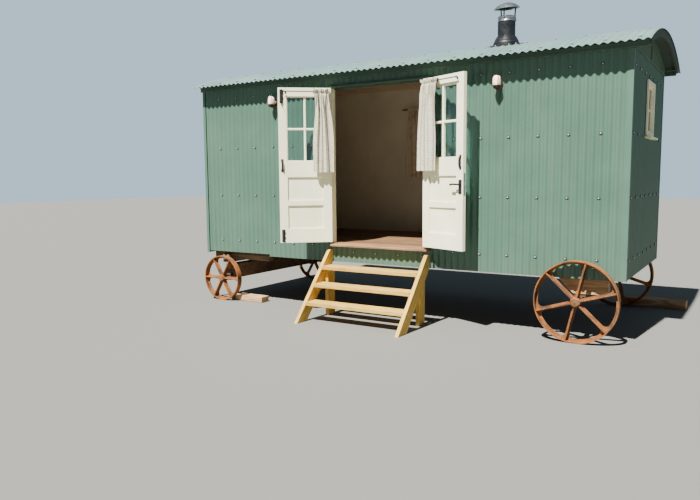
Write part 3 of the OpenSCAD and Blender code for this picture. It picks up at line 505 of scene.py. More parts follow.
def markGrain(obj, along=None):
    # a board's own coordinates, its length first, so that the grain runs with it
    points = [v.co.copy() for v in obj.data.vertices]
    low = Vector(min(p[i] for p in points) for i in range(3))
    high = Vector(max(p[i] for p in points) for i in range(3))
    if along is None:
        size = high - low
        along = Vector((0, 0, 0))
        along[max(range(3), key=lambda i: size[i])] = 1
    along = Vector(along).normalized()
    side = along.orthogonal().normalized()
    shift = Vector((dice.uniform(-9, 9), dice.uniform(-4, 4), dice.uniform(-4, 4)))
    turned = Matrix((along, side, along.cross(side)))
    values = [c for p in points for c in (turned @ (p - low)) + shift]
    obj.data.attributes.new("grain", "FLOAT_VECTOR", "POINT").data.foreach_set("vector", values)
    board = obj.data.attributes.new("board", "FLOAT", "POINT")
    board.data.foreach_set("value", [dice.random()] * len(points))
    return obj


def block(a, b, along=None):
    low, high = Vector(map(min, a, b)), Vector(map(max, a, b))
    deselect()
    bpy.ops.mesh.primitive_cube_add(size=1)
    obj = bpy.context.object
    obj.data.transform(Matrix.Translation((low + high) / 2) @ Matrix.Diagonal((*(high - low), 1)))
    return markGrain(obj, along)


def prism(outline, lift, along=None):
    # a flat outline of points, pushed out by a vector
    mesh = bpy.data.meshes.new("prism")
    mesh.from_pydata([tuple(p) for p in outline], [], [list(range(len(outline)))])
    obj = linked("prism", mesh)
    with editing(obj):
        bpy.ops.mesh.extrude_region_move(TRANSFORM_OT_translate={"value": tuple(lift)})
        bpy.ops.mesh.select_all(action="SELECT")
        bpy.ops.mesh.normals_make_consistent(inside=False)
    return markGrain(obj, along)


def bar(a, b, radius, sides=20):
    a, b = Vector(a), Vector(b)
    deselect()
    bpy.ops.mesh.primitive_cylinder_add(vertices=sides, radius=radius, depth=(b - a).length)
    bpy.context.object.data.transform(facing(b - a, (a + b) / 2))
    return bpy.context.object


def ball(centre, radius):
    deselect()
    bpy.ops.mesh.primitive_uv_sphere_add(segments=20, ring_count=12, radius=radius)
    bpy.context.object.data.transform(Matrix.Translation(centre))
    return bpy.context.object


weld = 0.00002  # points closer than this are one


def spun(profile, centre=(0, 0, 0), axis=(0, 0, 1), steps=48):
    # radius and height pairs turned round an axis
    mesh = bpy.data.meshes.new("spun")
    mesh.from_pydata([(r, 0, z) for r, z in profile], [(i, i + 1) for i in range(len(profile) - 1)], [])
    obj = linked("spun", mesh)
    with editing(obj):
        bpy.ops.mesh.spin(steps=steps, angle=math.tau, center=(0, 0, 0), axis=(0, 0, 1))
        bpy.ops.mesh.select_all(action="SELECT")
        bpy.ops.mesh.remove_doubles(threshold=weld)
        bpy.ops.mesh.normals_make_consistent(inside=False)
    obj.data.transform(facing(axis, centre))
    return obj


def bent(points, radius, sides=4):
    # a round bar along a smooth line of points
    line = bpy.data.curves.new("bent", "CURVE")
    line.dimensions = "3D"
    line.bevel_depth = radius
    line.bevel_resolution = sides
    line.use_fill_caps = True
    spline = line.splines.new("NURBS")
    spline.points.add(len(points) - 1)
    for spot, point in zip(spline.points, points):
        spot.co = (*point, 1)
    spline.use_endpoint_u = True
    spline.order_u = 3
    spline.resolution_u = 8
    pick(linked("bent", line))
    bpy.ops.object.convert(target="MESH")
    return bpy.context.object


def flatGrid(columns, rows):
    deselect()
    bpy.ops.mesh.primitive_grid_add(x_subdivisions=columns, y_subdivisions=rows, size=1)
    return bpy.context.object


def together(parts):
    pick(*parts)
    if len(parts) > 1:
        bpy.ops.object.join()
    return bpy.context.object


def eased(obj, width=0.0, segments=2, angle=38):
    # rounds the sharp edges, and notes the narrow faces that this makes
    pick(obj)
    if width:
        applied(obj, "BEVEL", width=width, segments=segments, limit_method="ANGLE",
                angle_limit=math.radians(angle))
    bpy.ops.object.shade_smooth_by_angle(angle=math.radians(angle))
    applied(obj, "WEIGHTED_NORMAL", keep_sharp=True)
    mesh = obj.data
    narrow = []
    for face in mesh.polygons:
        rim = [mesh.vertices[i].co for i in face.vertices]
        shortest = min((rim[i] - rim[i - 1]).length for i in range(len(rim)))
        narrow.append(1.0 if width and shortest < width * 1.05 else 0.0)
    mark = mesh.attributes.get("edge") or mesh.attributes.new("edge", "FLOAT", "FACE")
    mark.data.foreach_set("value", narrow)
    return obj


def handIn(name, obj, finish, body, slot, *stoodFor):
    obj.name = obj.data.name = name
    dress(obj, finish)
    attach(obj, body)
    if stoodFor:
        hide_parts(*stoodFor)


def dress(obj, finish):
    obj.data.materials.clear()
    obj.data.materials.append(finishes[finish])


def nodeCopy(node, along=None):
    # a loose copy of a solid from the frame, with its triangles merged into whole faces
    obj = linked(node + "Copy", nodes[node].data.copy())
    with editing(obj):
        bpy.ops.mesh.remove_doubles(threshold=weld)
        bpy.ops.mesh.dissolve_limited(angle_limit=math.radians(0.8))
    if obj.data.has_custom_normals:
        bpy.ops.mesh.customdata_custom_splitnormals_clear()
    return markGrain(obj, along) if along else obj


def scattered(part, places):
    # copies of one small part, each standing on a point with its top along a direction
    copies = []
    for point, normal in places:
        copy = linked("copy", part.data.copy())
        copy.data.transform(facing(normal, point) @ Matrix.Rotation(dice.uniform(0, math.tau), 4, "Z"))
        copies.append(copy)
    made = together(copies)
    bpy.data.objects.remove(part)
    return made


# corrugated sheets

sheeting = {"pitch": 0.0762, "depth": 0.017, "crest": 0.0684, "thick": 0.001, "perWave": 12, "cover": 0.6096,
            "firstLap": 0.5640, "shortest": 0.08, "tuck": 0.030, "lapRise": 0.0020}


def wave(x):
    return sheeting["depth"] / 2 * (1 - math.cos(math.tau * (x - sheeting["crest"]) / sheeting["pitch"]))


def lapCuts(a, b):
    # where the sheets of one run change, from end to end
    first, cover, shortest = (sheeting[k] for k in ("firstLap", "cover", "shortest"))
    cuts = [a]
    k = math.ceil((a + shortest - first) / cover)
    while first + k * cover < b - shortest:
        cuts.append(first + k * cover)
        k += 1
    return cuts + [b]


def sheetPatch(a, b, low, high, rows, place, lapped):
    columns = max(4, round((b - a) / sheeting["pitch"] * sheeting["perWave"]))
    obj = flatGrid(columns, rows)
    for vertex in obj.data.vertices:
        x = a + (b - a) * (vertex.co.x + 0.5)
        z = low + (high - low) * (vertex.co.y + 0.5)
        rise = sheeting["lapRise"] * ease(x, b - 0.05, b - 0.012) if lapped else 0.0
        vertex.co = place(x, wave(x) - rise, z)
    return obj


def sheetRun(a, b, low, high, rows, place):
    cuts = lapCuts(a, b)
    parts = []
    for i, (start, end) in enumerate(zip(cuts, cuts[1:])):
        tuck = sheeting["tuck"] if i else 0.0
        parts.append(sheetPatch(start - tuck, end, low, high, rows, place, end != cuts[-1]))
    return parts


def sheetRound(opening, length, top, place):
    # the runs beside a window, then under and over it
    a, b = opening["x"] - opening["wide"] / 2, opening["x"] + opening["wide"] / 2
    parts = sheetRun(0.0, a, -hut["drip"], top, wall["rows"], place)
    parts += sheetRun(b, length, -hut["drip"], top, wall["rows"], place)
    parts += sheetRun(a, b, -hut["drip"], opening["z"], 3, place)
    return parts + sheetRun(a, b, opening["z"] + opening["high"], top, 1, place)


def sheeted(name, parts, finish, slot, *stoodFor):
    obj = together(parts)
    applied(obj, "SOLIDIFY", thickness=sheeting["thick"], offset=-1)
    bpy.ops.object.shade_smooth_by_angle(angle=math.radians(40))
    handIn(name, obj, finish, "hut", slot, *stoodFor)


wall = {"top": 2.238, "endTop": 2.188, "rows": 6, "stepLength": 1.116, "stepUp": 0.028}
doorway = {"left": 2.0967, "right": 3.4523, "sill": 0.1727, "head": 2.119, "play": 0.0006}
endRun = hut["width"] - 2 * hut["skin"]
backWindow = {"x": 2.775, "wide": 0.860, "high": 0.740, "z": 1.160}
endWindow = {"x": endRun / 2, "wide": 0.440, "high": 0.537, "z": 1.439}


def backPlace(x, d, z):
    return at(x, hut["width"] - d, z)


def rightPlace(s, d, z):
    return at(hut["length"] - d, hut["skin"] + s, z)


def leftPlace(s, d, z):
    return at(d, hut["width"] - hut["skin"] - s, z)


def buildWalls():
    low, top, rows = -hut["drip"], wall["top"], wall["rows"]
    left, right = doorway["left"], doorway["right"]
    front = sheetRun(0.0, wall["stepLength"], low + wall["stepUp"], top, rows, at)
    front += sheetRun(wall["stepLength"], left, low, top, rows, at)
    front += sheetRun(right, hut["length"], low, top, rows, at)
    for z0, z1 in ((low, doorway["sill"]), (doorway["head"], top)):
        front += sheetRun(left + doorway["play"], right - doorway["play"], z0, z1, 1, at)
    sheeted("claddingFront", front, "sheet", "green_sheet", "cladding_left", "cladding_right", "cladding_door")

    back = together(sheetRound(backWindow, hut["length"], top, backPlace))
    with editing(back):
        bpy.ops.mesh.flip_normals()
    sheeted("claddingBack", [back], "sheet", "green_sheet", "cladding_back")

    ends = sheetRun(0.0, endRun, low, wall["endTop"], rows, leftPlace)
    ends += sheetRound(endWindow, endRun, wall["endTop"], rightPlace)
    sheeted("claddingEnds", ends, "sheet", "green_sheet", "cladding_ends")


buildWalls()

arch = {"eaveOut": 0.160, "eave": 2.240, "rise": 0.265, "left": 0.048, "right": 0.160, "rows": 30}
halfSpan = hut["width"] / 2 + arch["eaveOut"]
roofRadius = (halfSpan ** 2 + arch["rise"] ** 2) / (2 * arch["rise"])
roofCentre = arch["eave"] + arch["rise"] - roofRadius
roofHalf = math.asin(halfSpan / roofRadius)
roofLength = hut["length"] + arch["left"] + arch["right"]


def roofPlace(x, d, s):
    return at(x - arch["left"], hut["width"] / 2 + (roofRadius - d) * math.sin(s),
              roofCentre + (roofRadius - d) * math.cos(s))


roofParts = sheetRun(0.0, roofLength, -roofHalf, roofHalf, arch["rows"], roofPlace)
sheeted("roofSheet", roofParts, "roof", "roof_green", "roof_sheet")
print("corrugated sheets made")


# sheet screws

screwPlan = {"washer": 0.0170, "head": 0.0072, "high": 0.0100, "stride": 4 * sheeting["pitch"],
             "rows": (1.413, 0.788, 0.175, 2.070), "sillRow": 0.105, "topEndRow": 2.046,
             "firstLeft": 0.2970, "firstRight": 3.7260, "perSide": 6, "perBack": 18, "perEnd": 7,
             "roofLines": (-1.19, -0.62, 0.0, 0.62, 1.19), "perRoof": 19, "margin": 0.06}


def placeScrews(name, spots):
    washer = eased(bar((0, 0, -0.0005), (0, 0, 0.0020), screwPlan["washer"], 12), 0.0009, 1)
    handIn(name + "Washers", scattered(washer, spots), "zinc", "hut", "rubber_black")
    head = eased(bar((0, 0, 0.0014), (0, 0, screwPlan["high"]), screwPlan["head"], 6), 0.0016, 2)
    handIn(name + "Heads", scattered(head, spots), "brightZinc", "hut", "steel")


def placeWallScrews(plan):
    def rowOf(first, places):
        return [first + k * plan["stride"] for k in places]

    def clearOf(opening, x, z):
        aside = abs(x - opening["x"]) - opening["wide"] / 2
        up, margin = z - opening["z"], plan["margin"]
        return aside > margin or not -margin < up < opening["high"] + margin

    front, back, east, west = (0, -1, 0), (0, 1, 0), (1, 0, 0), (-1, 0, 0)
    spots = []
    for z in plan["rows"]:
        for first in (plan["firstLeft"], plan["firstRight"]):
            spots += [(at(x, 0, z), front) for x in rowOf(first, range(plan["perSide"]))]
        for x in rowOf(plan["firstLeft"], range(plan["perBack"])):
            if clearOf(backWindow, x, z):
                spots.append((at(x, hut["width"], z), back))
        level = min(z, plan["topEndRow"])
        for s in rowOf(sheeting["crest"], range(plan["perEnd"])):
            if clearOf(endWindow, s, z):
                spots.append((rightPlace(s, 0, level), east))
            spots.append((leftPlace(s, 0, level), west))
    spots += [(at(x, 0, plan["sillRow"]), front) for x in rowOf(plan["firstLeft"], range(7, 11))]
    placeScrews("wallScrew", spots)


def placeRoofScrews(plan):
    spots = []
    for k in range(plan["perRoof"]):
        x = sheeting["crest"] + k * plan["stride"] + sheeting["pitch"]
        for s in plan["roofLines"]:
            angle = s / roofRadius
            if x < roofLength - 0.02:
                spots.append((roofPlace(x, 0, angle), (0, math.sin(angle), math.cos(angle))))
    placeScrews("roofScrew", spots)


placeWallScrews(screwPlan)
placeRoofScrews(screwPlan)
print("screws placed")


# timber: chassis, floor, sill, trim

def dressedCopy(node, name, along, width, segments, finish, slot):
    handIn(name, eased(nodeCopy(node, along), width, segments), finish, "hut", slot, node)


dressedCopy("chassis_timbers", "chassisTimbers", (1, 0, 0), 0.006, 2, "darkTimber", "timber_dark")

floorPlan = {"left": 0.0936, "right": 5.4344, "near": 0.0936, "far": 2.0404, "under": 0.070, "thick": 0.025,
             "plank": 0.1217, "gap": 0.0015, "butt": 0.0012}


def buildFloor(plan):
    low, high = hut["floor"] - plan["thick"], hut["floor"]
    planks = []
    y = plan["near"]
    while y < plan["far"] - 0.01:
        reach = min(y + plan["plank"] - plan["gap"], plan["far"])
        joint = dice.uniform(1.6, 4.2)
        planks.append(block(at(plan["left"], y, low), at(joint, reach, high)))
        planks.append(block(at(joint + plan["butt"], y, low), at(plan["right"], reach, high)))
        y += plan["plank"]
    skin = hut["skin"]
    planks.append(block(at(skin, skin, plan["under"]), at(hut["length"] - skin, hut["width"] - skin, low)))
    handIn("floorPlanks", eased(together(planks), 0.0012, 1), "floor", "hut", "floor_wood", "floor_boards")


buildFloor(floorPlan)
dressedCopy("door_sill", "doorSill", (1, 0, 0), 0.004, 3, "sill", "sill_wood")

trimPlan = {"left": -0.014, "right": hut["length"] + 0.126, "low": 2.188, "high": 2.2455, "thick": 0.022,
            "off": 0.0003, "beadHigh": 0.018, "beadOut": 0.006, "rainLeft": 2.127, "rainLong": 1.325,
            "rainOutline": ((-0.018, 2.082), (-0.018, 2.112), (-0.046, 2.104),
                            (-0.052, 2.098), (-0.052, 2.082))}


def buildTrim(plan):
    left, right, low = plan["left"], plan["right"], plan["low"]
    thick, beadOut = plan["thick"], plan["beadOut"]
    frontBoard, backBoard = -plan["off"] - thick, hut["width"] + plan["off"]
    trim = []
    for board, bead in ((frontBoard, frontBoard - beadOut), (backBoard, backBoard + thick)):
        trim.append(block(at(left, board, low), at(right, board + thick, plan["high"])))
        trim.append(block(at(left, bead, low), at(right, bead + beadOut, low + plan["beadHigh"])))
    handIn("eaveTrim", eased(together(trim), 0.003), "fascia", "hut", "trim_green", "eave_boards")
    rain = prism([at(plan["rainLeft"], y, z) for y, z in plan["rainOutline"]], (plan["rainLong"], 0, 0))
    handIn("rainStrip", eased(rain, 0.002), "fascia", "hut", "trim_green")


buildTrim(trimPlan)
dressedCopy("gable_boards", "gableBoards", (0, 1, 0), 0.003, 2, "gable", "gable_green")
dressedCopy("corner_flashings", "cornerFlashings", (0, 0, 1), 0.0, 2, "sheet", "green_sheet")

for finish, dressed in {
        "lining": ("front_wall_left", "front_wall_right", "front_wall_over_door", "back_wall", "end_walls"),
        "deck": ("roof_deck",), "pane": ("window_glass", "left_leaf_glass", "right_leaf_glass"),
        "blackIron": ("iron_fittings",)}.items():
    for node in dressed:
        dress(nodes[node], finish)
print("timber dressed")


# steps

stepPlan = {"left": 2.085, "wide": 1.360, "board": 0.044, "out": 0.770, "run": 0.705, "high": 0.796,
            "wood": 0.150, "treads": 3, "tread": 0.185, "first": 0.229, "rise": 0.192, "nose": 0.025,
            "leg": 0.150, "legOut": 0.182, "off": 0.0003, "batten": (0.034, 0.036), "battenIn": (0.030, 0.020),
            "screwsIn": (0.055, 0.135), "screwOff": 0.0002, "legScrews": (0.47, 0.54), "legScrewOut": 0.150}


def buildSteps(plan):
    board, off = plan["board"], plan["off"]
    slope = plan["run"] / plan["high"]
    cut = plan["wood"] / math.cos(math.atan(slope))
    back = plan["out"] - off
    outline = [(0, 0), (plan["run"], plan["high"]), (back, plan["high"]), (back, (back - cut) / slope),
               (cut, 0)]
    outer = plan["left"], plan["left"] + plan["wide"]
    inner = outer[0] + board, outer[1] - board
    sides = []
    for x in (outer[0], inner[1]):
        points = [at(x, -plan["out"] + y, ground + z) for y, z in outline]
        sides.append(prism(points, (board, 0, 0), Vector((0, plan["run"], plan["high"]))))
    legTop = ground + plan["first"] + 2 * plan["rise"] - board - off
    for x in (inner[0], inner[1] - board):
        sides.append(block(at(x, -plan["legOut"], ground),
                           at(x + board, plan["leg"] - plan["legOut"], legTop)))
    treads, spots = [], []
    for k in range(plan["treads"]):
        rise = plan["first"] + k * plan["rise"]
        top = ground + rise
        y = -plan["out"] + rise * slope - plan["nose"]
        treads.append(block(at(inner[0], y, top - board), at(inner[1], y + plan["tread"], top)))
        wide, deep = plan["batten"]
        near, far = y + plan["battenIn"][0], y + plan["tread"] - plan["battenIn"][1]
        for x, turn in ((inner[0], 1), (inner[1], -1)):  # a batten under each end
            sides.append(block(at(x, near, top - board - deep),
                               at(x + turn * wide, far, top - board - 0.0004)))
        for dy in plan["screwsIn"]:
            for x, n in zip(outer, (-1, 1)):
                spots.append((at(x + n * plan["screwOff"], y + dy, top - board / 2), (n, 0, 0)))
    handIn("stepSides", eased(together(sides), 0.0035), "pine", "hut", "pine", "step_sides")
    handIn("stepTreads", eased(together(treads), 0.0045, 3), "pine", "hut", "pine", "step_treads")
    spots += [(at(x, -plan["legScrewOut"], ground + z), (n, 0, 0))
              for z in plan["legScrews"] for x, n in zip(outer, (-1, 1))]
    head = spun([(0.0, 0.0002), (0.0012, 0.0002), (0.0016, 0.0012), (0.0044, 0.0012), (0.0052, -0.0004)],
                steps=14)
    handIn("stepScrews", scattered(head, spots), "steel", "hut", "steel")


buildSteps(stepPlan)


# blocks on the ground

blockPlan = {"front": ((0.476, 0.016), (0.952, 0.170), 0.080), "back": ((5.120, 2.260), (5.870, 2.450), 0.108),
             "cuts": 5, "worn": 0.004}


def roughBlock(plan, near, far, high):
    obj = block(at(*near, ground), at(*far, ground + high))
    with editing(obj):
        bpy.ops.mesh.subdivide(number_cuts=plan["cuts"])
    eased(obj, 0.007, 3)
    middle = sum((v.co for v in obj.data.vertices), Vector()) / len(obj.data.vertices)
    base = min(v.co.z for v in obj.data.vertices)
    for vertex in obj.data.vertices:
        p = vertex.co
        push = plan["worn"] * (math.sin(p.x * 23 + p.z * 31) + math.sin(p.y * 41 - p.x * 17)) / 2
        vertex.co = p - (p - middle).normalized() * abs(push)
        vertex.co.z = max(base, vertex.co.z)
    return obj


chocks = [roughBlock(blockPlan, *blockPlan[key]) for key in ("front", "back")]
handIn("wheelChocks", together(chocks), "block", "hut", "block_wood", "wheel_chocks")
print("steps and blocks made")


# running gear

wheelPlan = {"soft": 0.0028, "capBolt": 0.009, "capRing": 0.036, "capBolts": 3, "firstBolt": 0.5}


def buildWheel(plan, node, name, body, side):
    wheel = eased(nodeCopy(node), plan["soft"], 2, 34)
    low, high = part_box(node)
    hub = (low + high) / 2
    hub.y = low.y if side < 0 else high.y  # the hub cap stands proud of the rim on the outer side
    spots = []
    for k in range(plan["capBolts"]):
        angle = math.tau * k / plan["capBolts"] + plan["firstBolt"]
        away = Vector((plan["capRing"] * math.cos(angle), -side * 0.0055, plan["capRing"] * math.sin(angle)))
        spots.append((hub + away, (0, side, 0)))
    nut = bar((0, 0, -0.004), (0, 0, 0.0065), plan["capBolt"], 6)
    nuts = scattered(eased(nut, 0.0012, 1), spots)
    boss = spun([(0.0, 0.0035), (0.009, 0.0030), (0.013, 0.0), (0.016, -0.004)], hub, (0, side, 0), 24)
    handIn(name, together([wheel, nuts, boss]), "rust", body, "wheel_rust", node)


for end in ("left", "right"):
    for place, side in (("front", -1), ("back", 1)):
        name = "wheel" + place.title() + end.title()
        buildWheel(wheelPlan, f"wheel_{place}_{end}", name, f"{place}_{end}_wheel", side)
dressedCopy("axles", "axles", None, 0.003, 2, "axleIron", "iron_dark")
print("wheels made")


# door frame and leaves

framePlan = {"left": 2.097, "right": 3.452, "jamb": 0.035, "stop": 0.021, "out": -0.018, "in": 0.046,
             "stopFrom": 0.025, "foot": 0.2133, "top": 2.079, "headTop": 2.119, "stopHead": 2.062}
leafPlan = {"wide": 0.6325, "high": 1.846, "thick": 0.044, "pin": 0.008, "bottom": 0.228, "stile": 0.100,
            "top": 0.106, "glazed": 0.760, "bar": 0.026, "mid": 0.190, "lock": 0.060, "base": 0.168,
            "panel": 0.010, "strips": 6, "strip": 0.014, "groove": 0.0016, "bead": 0.009, "beadOut": 0.006,
            "leftPin": 2.137, "rightPin": 3.412, "pinLine": -0.032, "leftOpen": 140.0, "rightOpen": 156.5}
innerFace = leafPlan["pin"] + leafPlan["thick"]


def buildFrame(plan):
    left, right = plan["left"] + plan["jamb"], plan["right"] - plan["jamb"]
    parts = []
    for x0, x1, y0 in ((plan["left"], left, plan["out"]), (right, plan["right"], plan["out"]),
                       (left, left + plan["stop"], plan["stopFrom"]),
                       (right - plan["stop"], right, plan["stopFrom"])):
        parts.append(block(at(x0, y0, plan["foot"]), at(x1, plan["in"], plan["top"])))
    handIn("doorFrame", eased(together(parts), 0.0025), "cream", "hut", "cream_paint", "door_frame")
    # the head and its stop take the dark trim green, partly painted shade for the shade under the rain strip
    parts = [block(at(plan["left"], plan["out"], plan["top"] + 0.0005),
                   at(plan["right"], plan["in"], plan["headTop"])),
             block(at(left + plan["stop"], plan["stopFrom"], plan["stopHead"]),
                   at(right - plan["stop"], plan["in"], plan["top"]))]
    handIn("doorHead", eased(together(parts), 0.0025), "fascia", "hut", "trim_green", "door_frame")


buildFrame(framePlan)


def onLeaf(hand, x, y, z):
    # a place on a closed leaf whose hinge line is the origin, for either hand
    return Vector((hand * x, y, z))


def hang(obj, hand):
    # from the closed leaf to where the open leaf stands
    plan = leafPlan
    turn = -plan["leftOpen"] if hand > 0 else plan["rightOpen"]
    pin = at(plan["leftPin"] if hand > 0 else plan["rightPin"], plan["pinLine"], plan["bottom"])
    obj.data.transform(Matrix.Translation(pin) @ Matrix.Rotation(math.radians(turn), 4, "Z"))
    return obj


def buildLeaf(hand, name, body, node):
    plan = leafPlan
    y0, y1 = plan["pin"], innerFace
    mid = (y0 + y1) / 2
    w, h, stile = plan["wide"], plan["high"], plan["stile"]
    head = h - plan["top"]
    sill = head - plan["glazed"]
    lockRail = sill - plan["mid"]
    deep = (lockRail - plan["base"] - plan["lock"]) / 2
    second = plan["base"] + deep + plan["lock"]

    def add(parts, x, y, z):
        parts.append(block(onLeaf(hand, x[0], y[0], z[0]), onLeaf(hand, x[1], y[1], z[1])))

    def addRing(parts, y, z):
        # four slim beads round an opening between the stiles
        bead, far = plan["bead"], w - stile
        add(parts, (stile, far), y, (z[0], z[0] + bead))
        add(parts, (stile, far), y, (z[1] - bead, z[1]))
        add(parts, (stile, stile + bead), y, (z[0] + bead, z[1] - bead))
        add(parts, (far - bead, far), y, (z[0] + bead, z[1] - bead))

    joinery, panels, bars = [], [], []
    for x in ((0, stile), (w - stile, w)):
        add(joinery, x, (y0, y1), (0, h))
    for z in ((0, plan["base"]), (plan["base"] + deep, second), (lockRail, sill), (head, h)):
        add(joinery, (stile, w - stile), (y0 + 0.0004, y1 - 0.0004), z)
    half, strip, gap = plan["strip"] / 2, (w - 2 * stile) / plan["strips"], plan["groove"] / 2
    for z in ((plan["base"], plan["base"] + deep), (second, second + deep)):
        add(panels, (stile, w - stile), (mid - plan["panel"] / 2, mid + plan["panel"] / 2), z)
        for k in range(plan["strips"]):
            x0 = stile + k * strip
            add(panels, (x0 + gap, x0 + strip - gap), (mid - half, mid + half), z)
        addRing(panels, (mid + half, mid + half + plan["beadOut"]), z)
        addRing(panels, (mid - half - plan["beadOut"], mid - half), z)
    barX, barZ = (w - plan["bar"]) / 2, sill + (plan["glazed"] - plan["bar"]) / 2
    add(bars, (barX, barX + plan["bar"]), (y0 + 0.003, y1 - 0.003), (sill, head))
    add(bars, (stile, w - stile), (y0 + 0.0036, y1 - 0.0036), (barZ, barZ + plan["bar"]))
    addRing(panels, (mid + 0.003, y1 - 0.006), (sill, head))
    addRing(panels, (y0 + 0.006, mid - 0.003), (sill, head))
    leaf = [eased(together(joinery), 0.0022), eased(together(panels), 0.0028),
            eased(together(bars), 0.0062, 3)]
    handIn(name, hang(together(leaf), hand), "cream", body, "cream_paint", node)


buildLeaf(1, "leftLeaf", "left_door", "left_leaf")
buildLeaf(-1, "rightLeaf", "right_door", "right_leaf")
print("leaves made")


# ironwork on the leaves

ironPlan = {"hinges": (0.160, 0.893, 1.626), "hinge": 0.060, "knuckle": 0.006, "flap": 0.030,
            "flapScrews": (0.012, 0.030, 0.048), "rod": 0.006, "rodDown": 0.046, "rodOut": 0.030,
            "rodEnds": (0.040, 0.070), "rodKnob": 0.0095, "inset": 0.038, "pull": 0.875, "pullLong": 0.110,
            "pullOut": 0.020, "pullThick": 0.0094, "boltInset": 0.040, "bolt": 0.0072, "boltOut": 0.009,
            "headBolt": (0.180, 0.022, 0.021), "footBolt": (0.012, 0.162, 0.006), "staple": (0.0135, 0.012),
            "lever": 0.700, "leverThick": 0.0098, "keyDown": 0.052, "sunk": 0.0003}


class Fittings:
    # the ironwork of one leaf, as it gathers: flat plates, round parts and screws
    def __init__(self, hand):
        self.hand = hand
        self.plates, self.rounds, self.spots = [], [], []

    def put(self, x, out, z):
        # out from the leaf's inner face, which is the one seen when the door is open
        return onLeaf(self.hand, x, innerFace + out, z)

    def plate(self, x, half, z, out, sunk=ironPlan["sunk"]):
        self.plates.append(block(self.put(x - half, -sunk, z[0]), self.put(x + half, out, z[1])))

    def rod(self, x, out, z, radius, sides=20):
        # straight, along whichever of the three is a pair
        ends = [[v[i] if isinstance(v, tuple) else v for v in (x, out, z)] for i in (0, 1)]
        self.rounds.append(bar(self.put(*ends[0]), self.put(*ends[1]), radius, sides))

    def curve(self, points, radius):
        self.rounds.append(bent([self.put(*point) for point in points], radius))

    def screws(self, places):
        self.spots += [(self.put(*place), (0, 1, 0)) for place in places]


def screwHead(radius=0.0042):
    return spun([(0.0, 0.0008), (radius * 0.7, 0.0008), (radius, -0.0004)], steps=12)


def addHinges(fit, plan):
    pin = leafPlan["pin"]
    for z in plan["hinges"]:
        top = z + plan["hinge"]
        fit.rod(0, -innerFace, (z, top), plan["knuckle"], 24)
        for x, y0, y1 in ((plan["knuckle"], 0.0005, pin), (plan["flap"], 0.0045, pin - 0.0002)):
            fit.plates.append(block(onLeaf(fit.hand, 0, y0, z), onLeaf(fit.hand, x, y1, top)))
        for dz in plan["flapScrews"]:
            fit.spots.append((onLeaf(fit.hand, 0.020, 0.0046, z + dz), (0, -1, 0)))


def addRod(fit, plan):
    z, out = leafPlan["high"] - plan["rodDown"], plan["rodOut"]
    first, last = plan["rodEnds"][0], leafPlan["wide"] - plan["rodEnds"][1]
    fit.rod((first, last), out, z, plan["rod"])
    fit.rounds += [ball(fit.put(x, out, z), plan["rodKnob"]) for x in (first, last)]
    for x in (first + 0.020, last - 0.020):
        hook = [(x, 0, z - 0.012), (x, 0.014, z - 0.014), (x, out, z - 0.012), (x, out + 0.004, z - 0.004)]
        fit.curve(hook, 0.0032)
        fit.rod(x, (-plan["sunk"], 0.003), z - 0.012, 0.011)


def addPull(fit, plan):
    x, out = leafPlan["wide"] - plan["inset"], plan["pullOut"]
    low, high = plan["pull"], plan["pull"] + plan["pullLong"]
    fit.curve([(x, 0, low), (x, 0.014, low + 0.002), (x, out, low + 0.022), (x, out, high - 0.022),
               (x, 0.014, high - 0.002), (x, 0, high)], plan["pullThick"])
    fit.plate(x, 0.010, (low - 0.010, high + 0.010), 0.0028)
    for z, turn in ((low - 0.004, -1), (high + 0.004, 1)):
        fit.plate(x, 0.0155, (z - 0.017, z + 0.017), 0.0035)
        fit.screws([(x, 0.0036, z + turn * 0.010)])


def addTowerBolts(fit, plan):
    # at the head and foot of the meeting stile
    x, h, out = leafPlan["wide"] - plan["boltInset"], leafPlan["high"], plan["boltOut"]
    half, tall = plan["staple"]
    for z0, z1, tip in ([h - down for down in plan["headBolt"]], plan["footBolt"]):
        fit.plate(x, 0.021, (z0, z1), 0.003)
        fit.rod(x, out, (min(z0, tip), max(z1, tip)), plan["bolt"])
        for z in (z0 + 0.018, (z0 + z1) / 2, z1 - 0.018):
            fit.plate(x, half, (z - tall, z + tall), 0.0165, -0.002)
        fit.screws([(x + dx, 0.0031, z) for dx in (-0.0155, 0.0155) for z in (z0 + 0.036, z1 - 0.036)])
    knob = h - 0.190
    fit.rod(x, out, (knob - 0.012, h - 0.170), 0.0055)
    fit.curve([(x, out, knob - 0.006), (x - 0.004, 0.018, knob - 0.014), (x - 0.012, 0.021, knob - 0.034),
               (x - 0.018, 0.017, knob - 0.050), (x - 0.027, 0.016, knob - 0.048)], 0.0026)


def addLockPlate(fit, plan):
    x, z = leafPlan["wide"] - plan["inset"], plan["lever"]
    fit.plate(x, 0.0235, (z - 0.100, z + 0.050), 0.0045)
    fit.rod(x, (0.004, 0.0095), z, 0.0155, 28)
    fit.rod(x, (0.004, 0.0066), z - plan["keyDown"], 0.0085, 24)
    fit.screws([(x, 0.0046, z + dz) for dz in (0.040, -0.090)])


def buildFittings(hand, name, body, node):
    fit = Fittings(hand)
    for add in (addHinges, addRod, addPull, addTowerBolts if hand > 0 else addLockPlate):
        add(fit, ironPlan)
    parts = [eased(together(fit.plates), 0.0011), eased(together(fit.rounds), angle=50)]
    parts.append(scattered(screwHead(), fit.spots))
    handIn(name, hang(together(parts), hand), "blackIron", body, "black_iron", node)


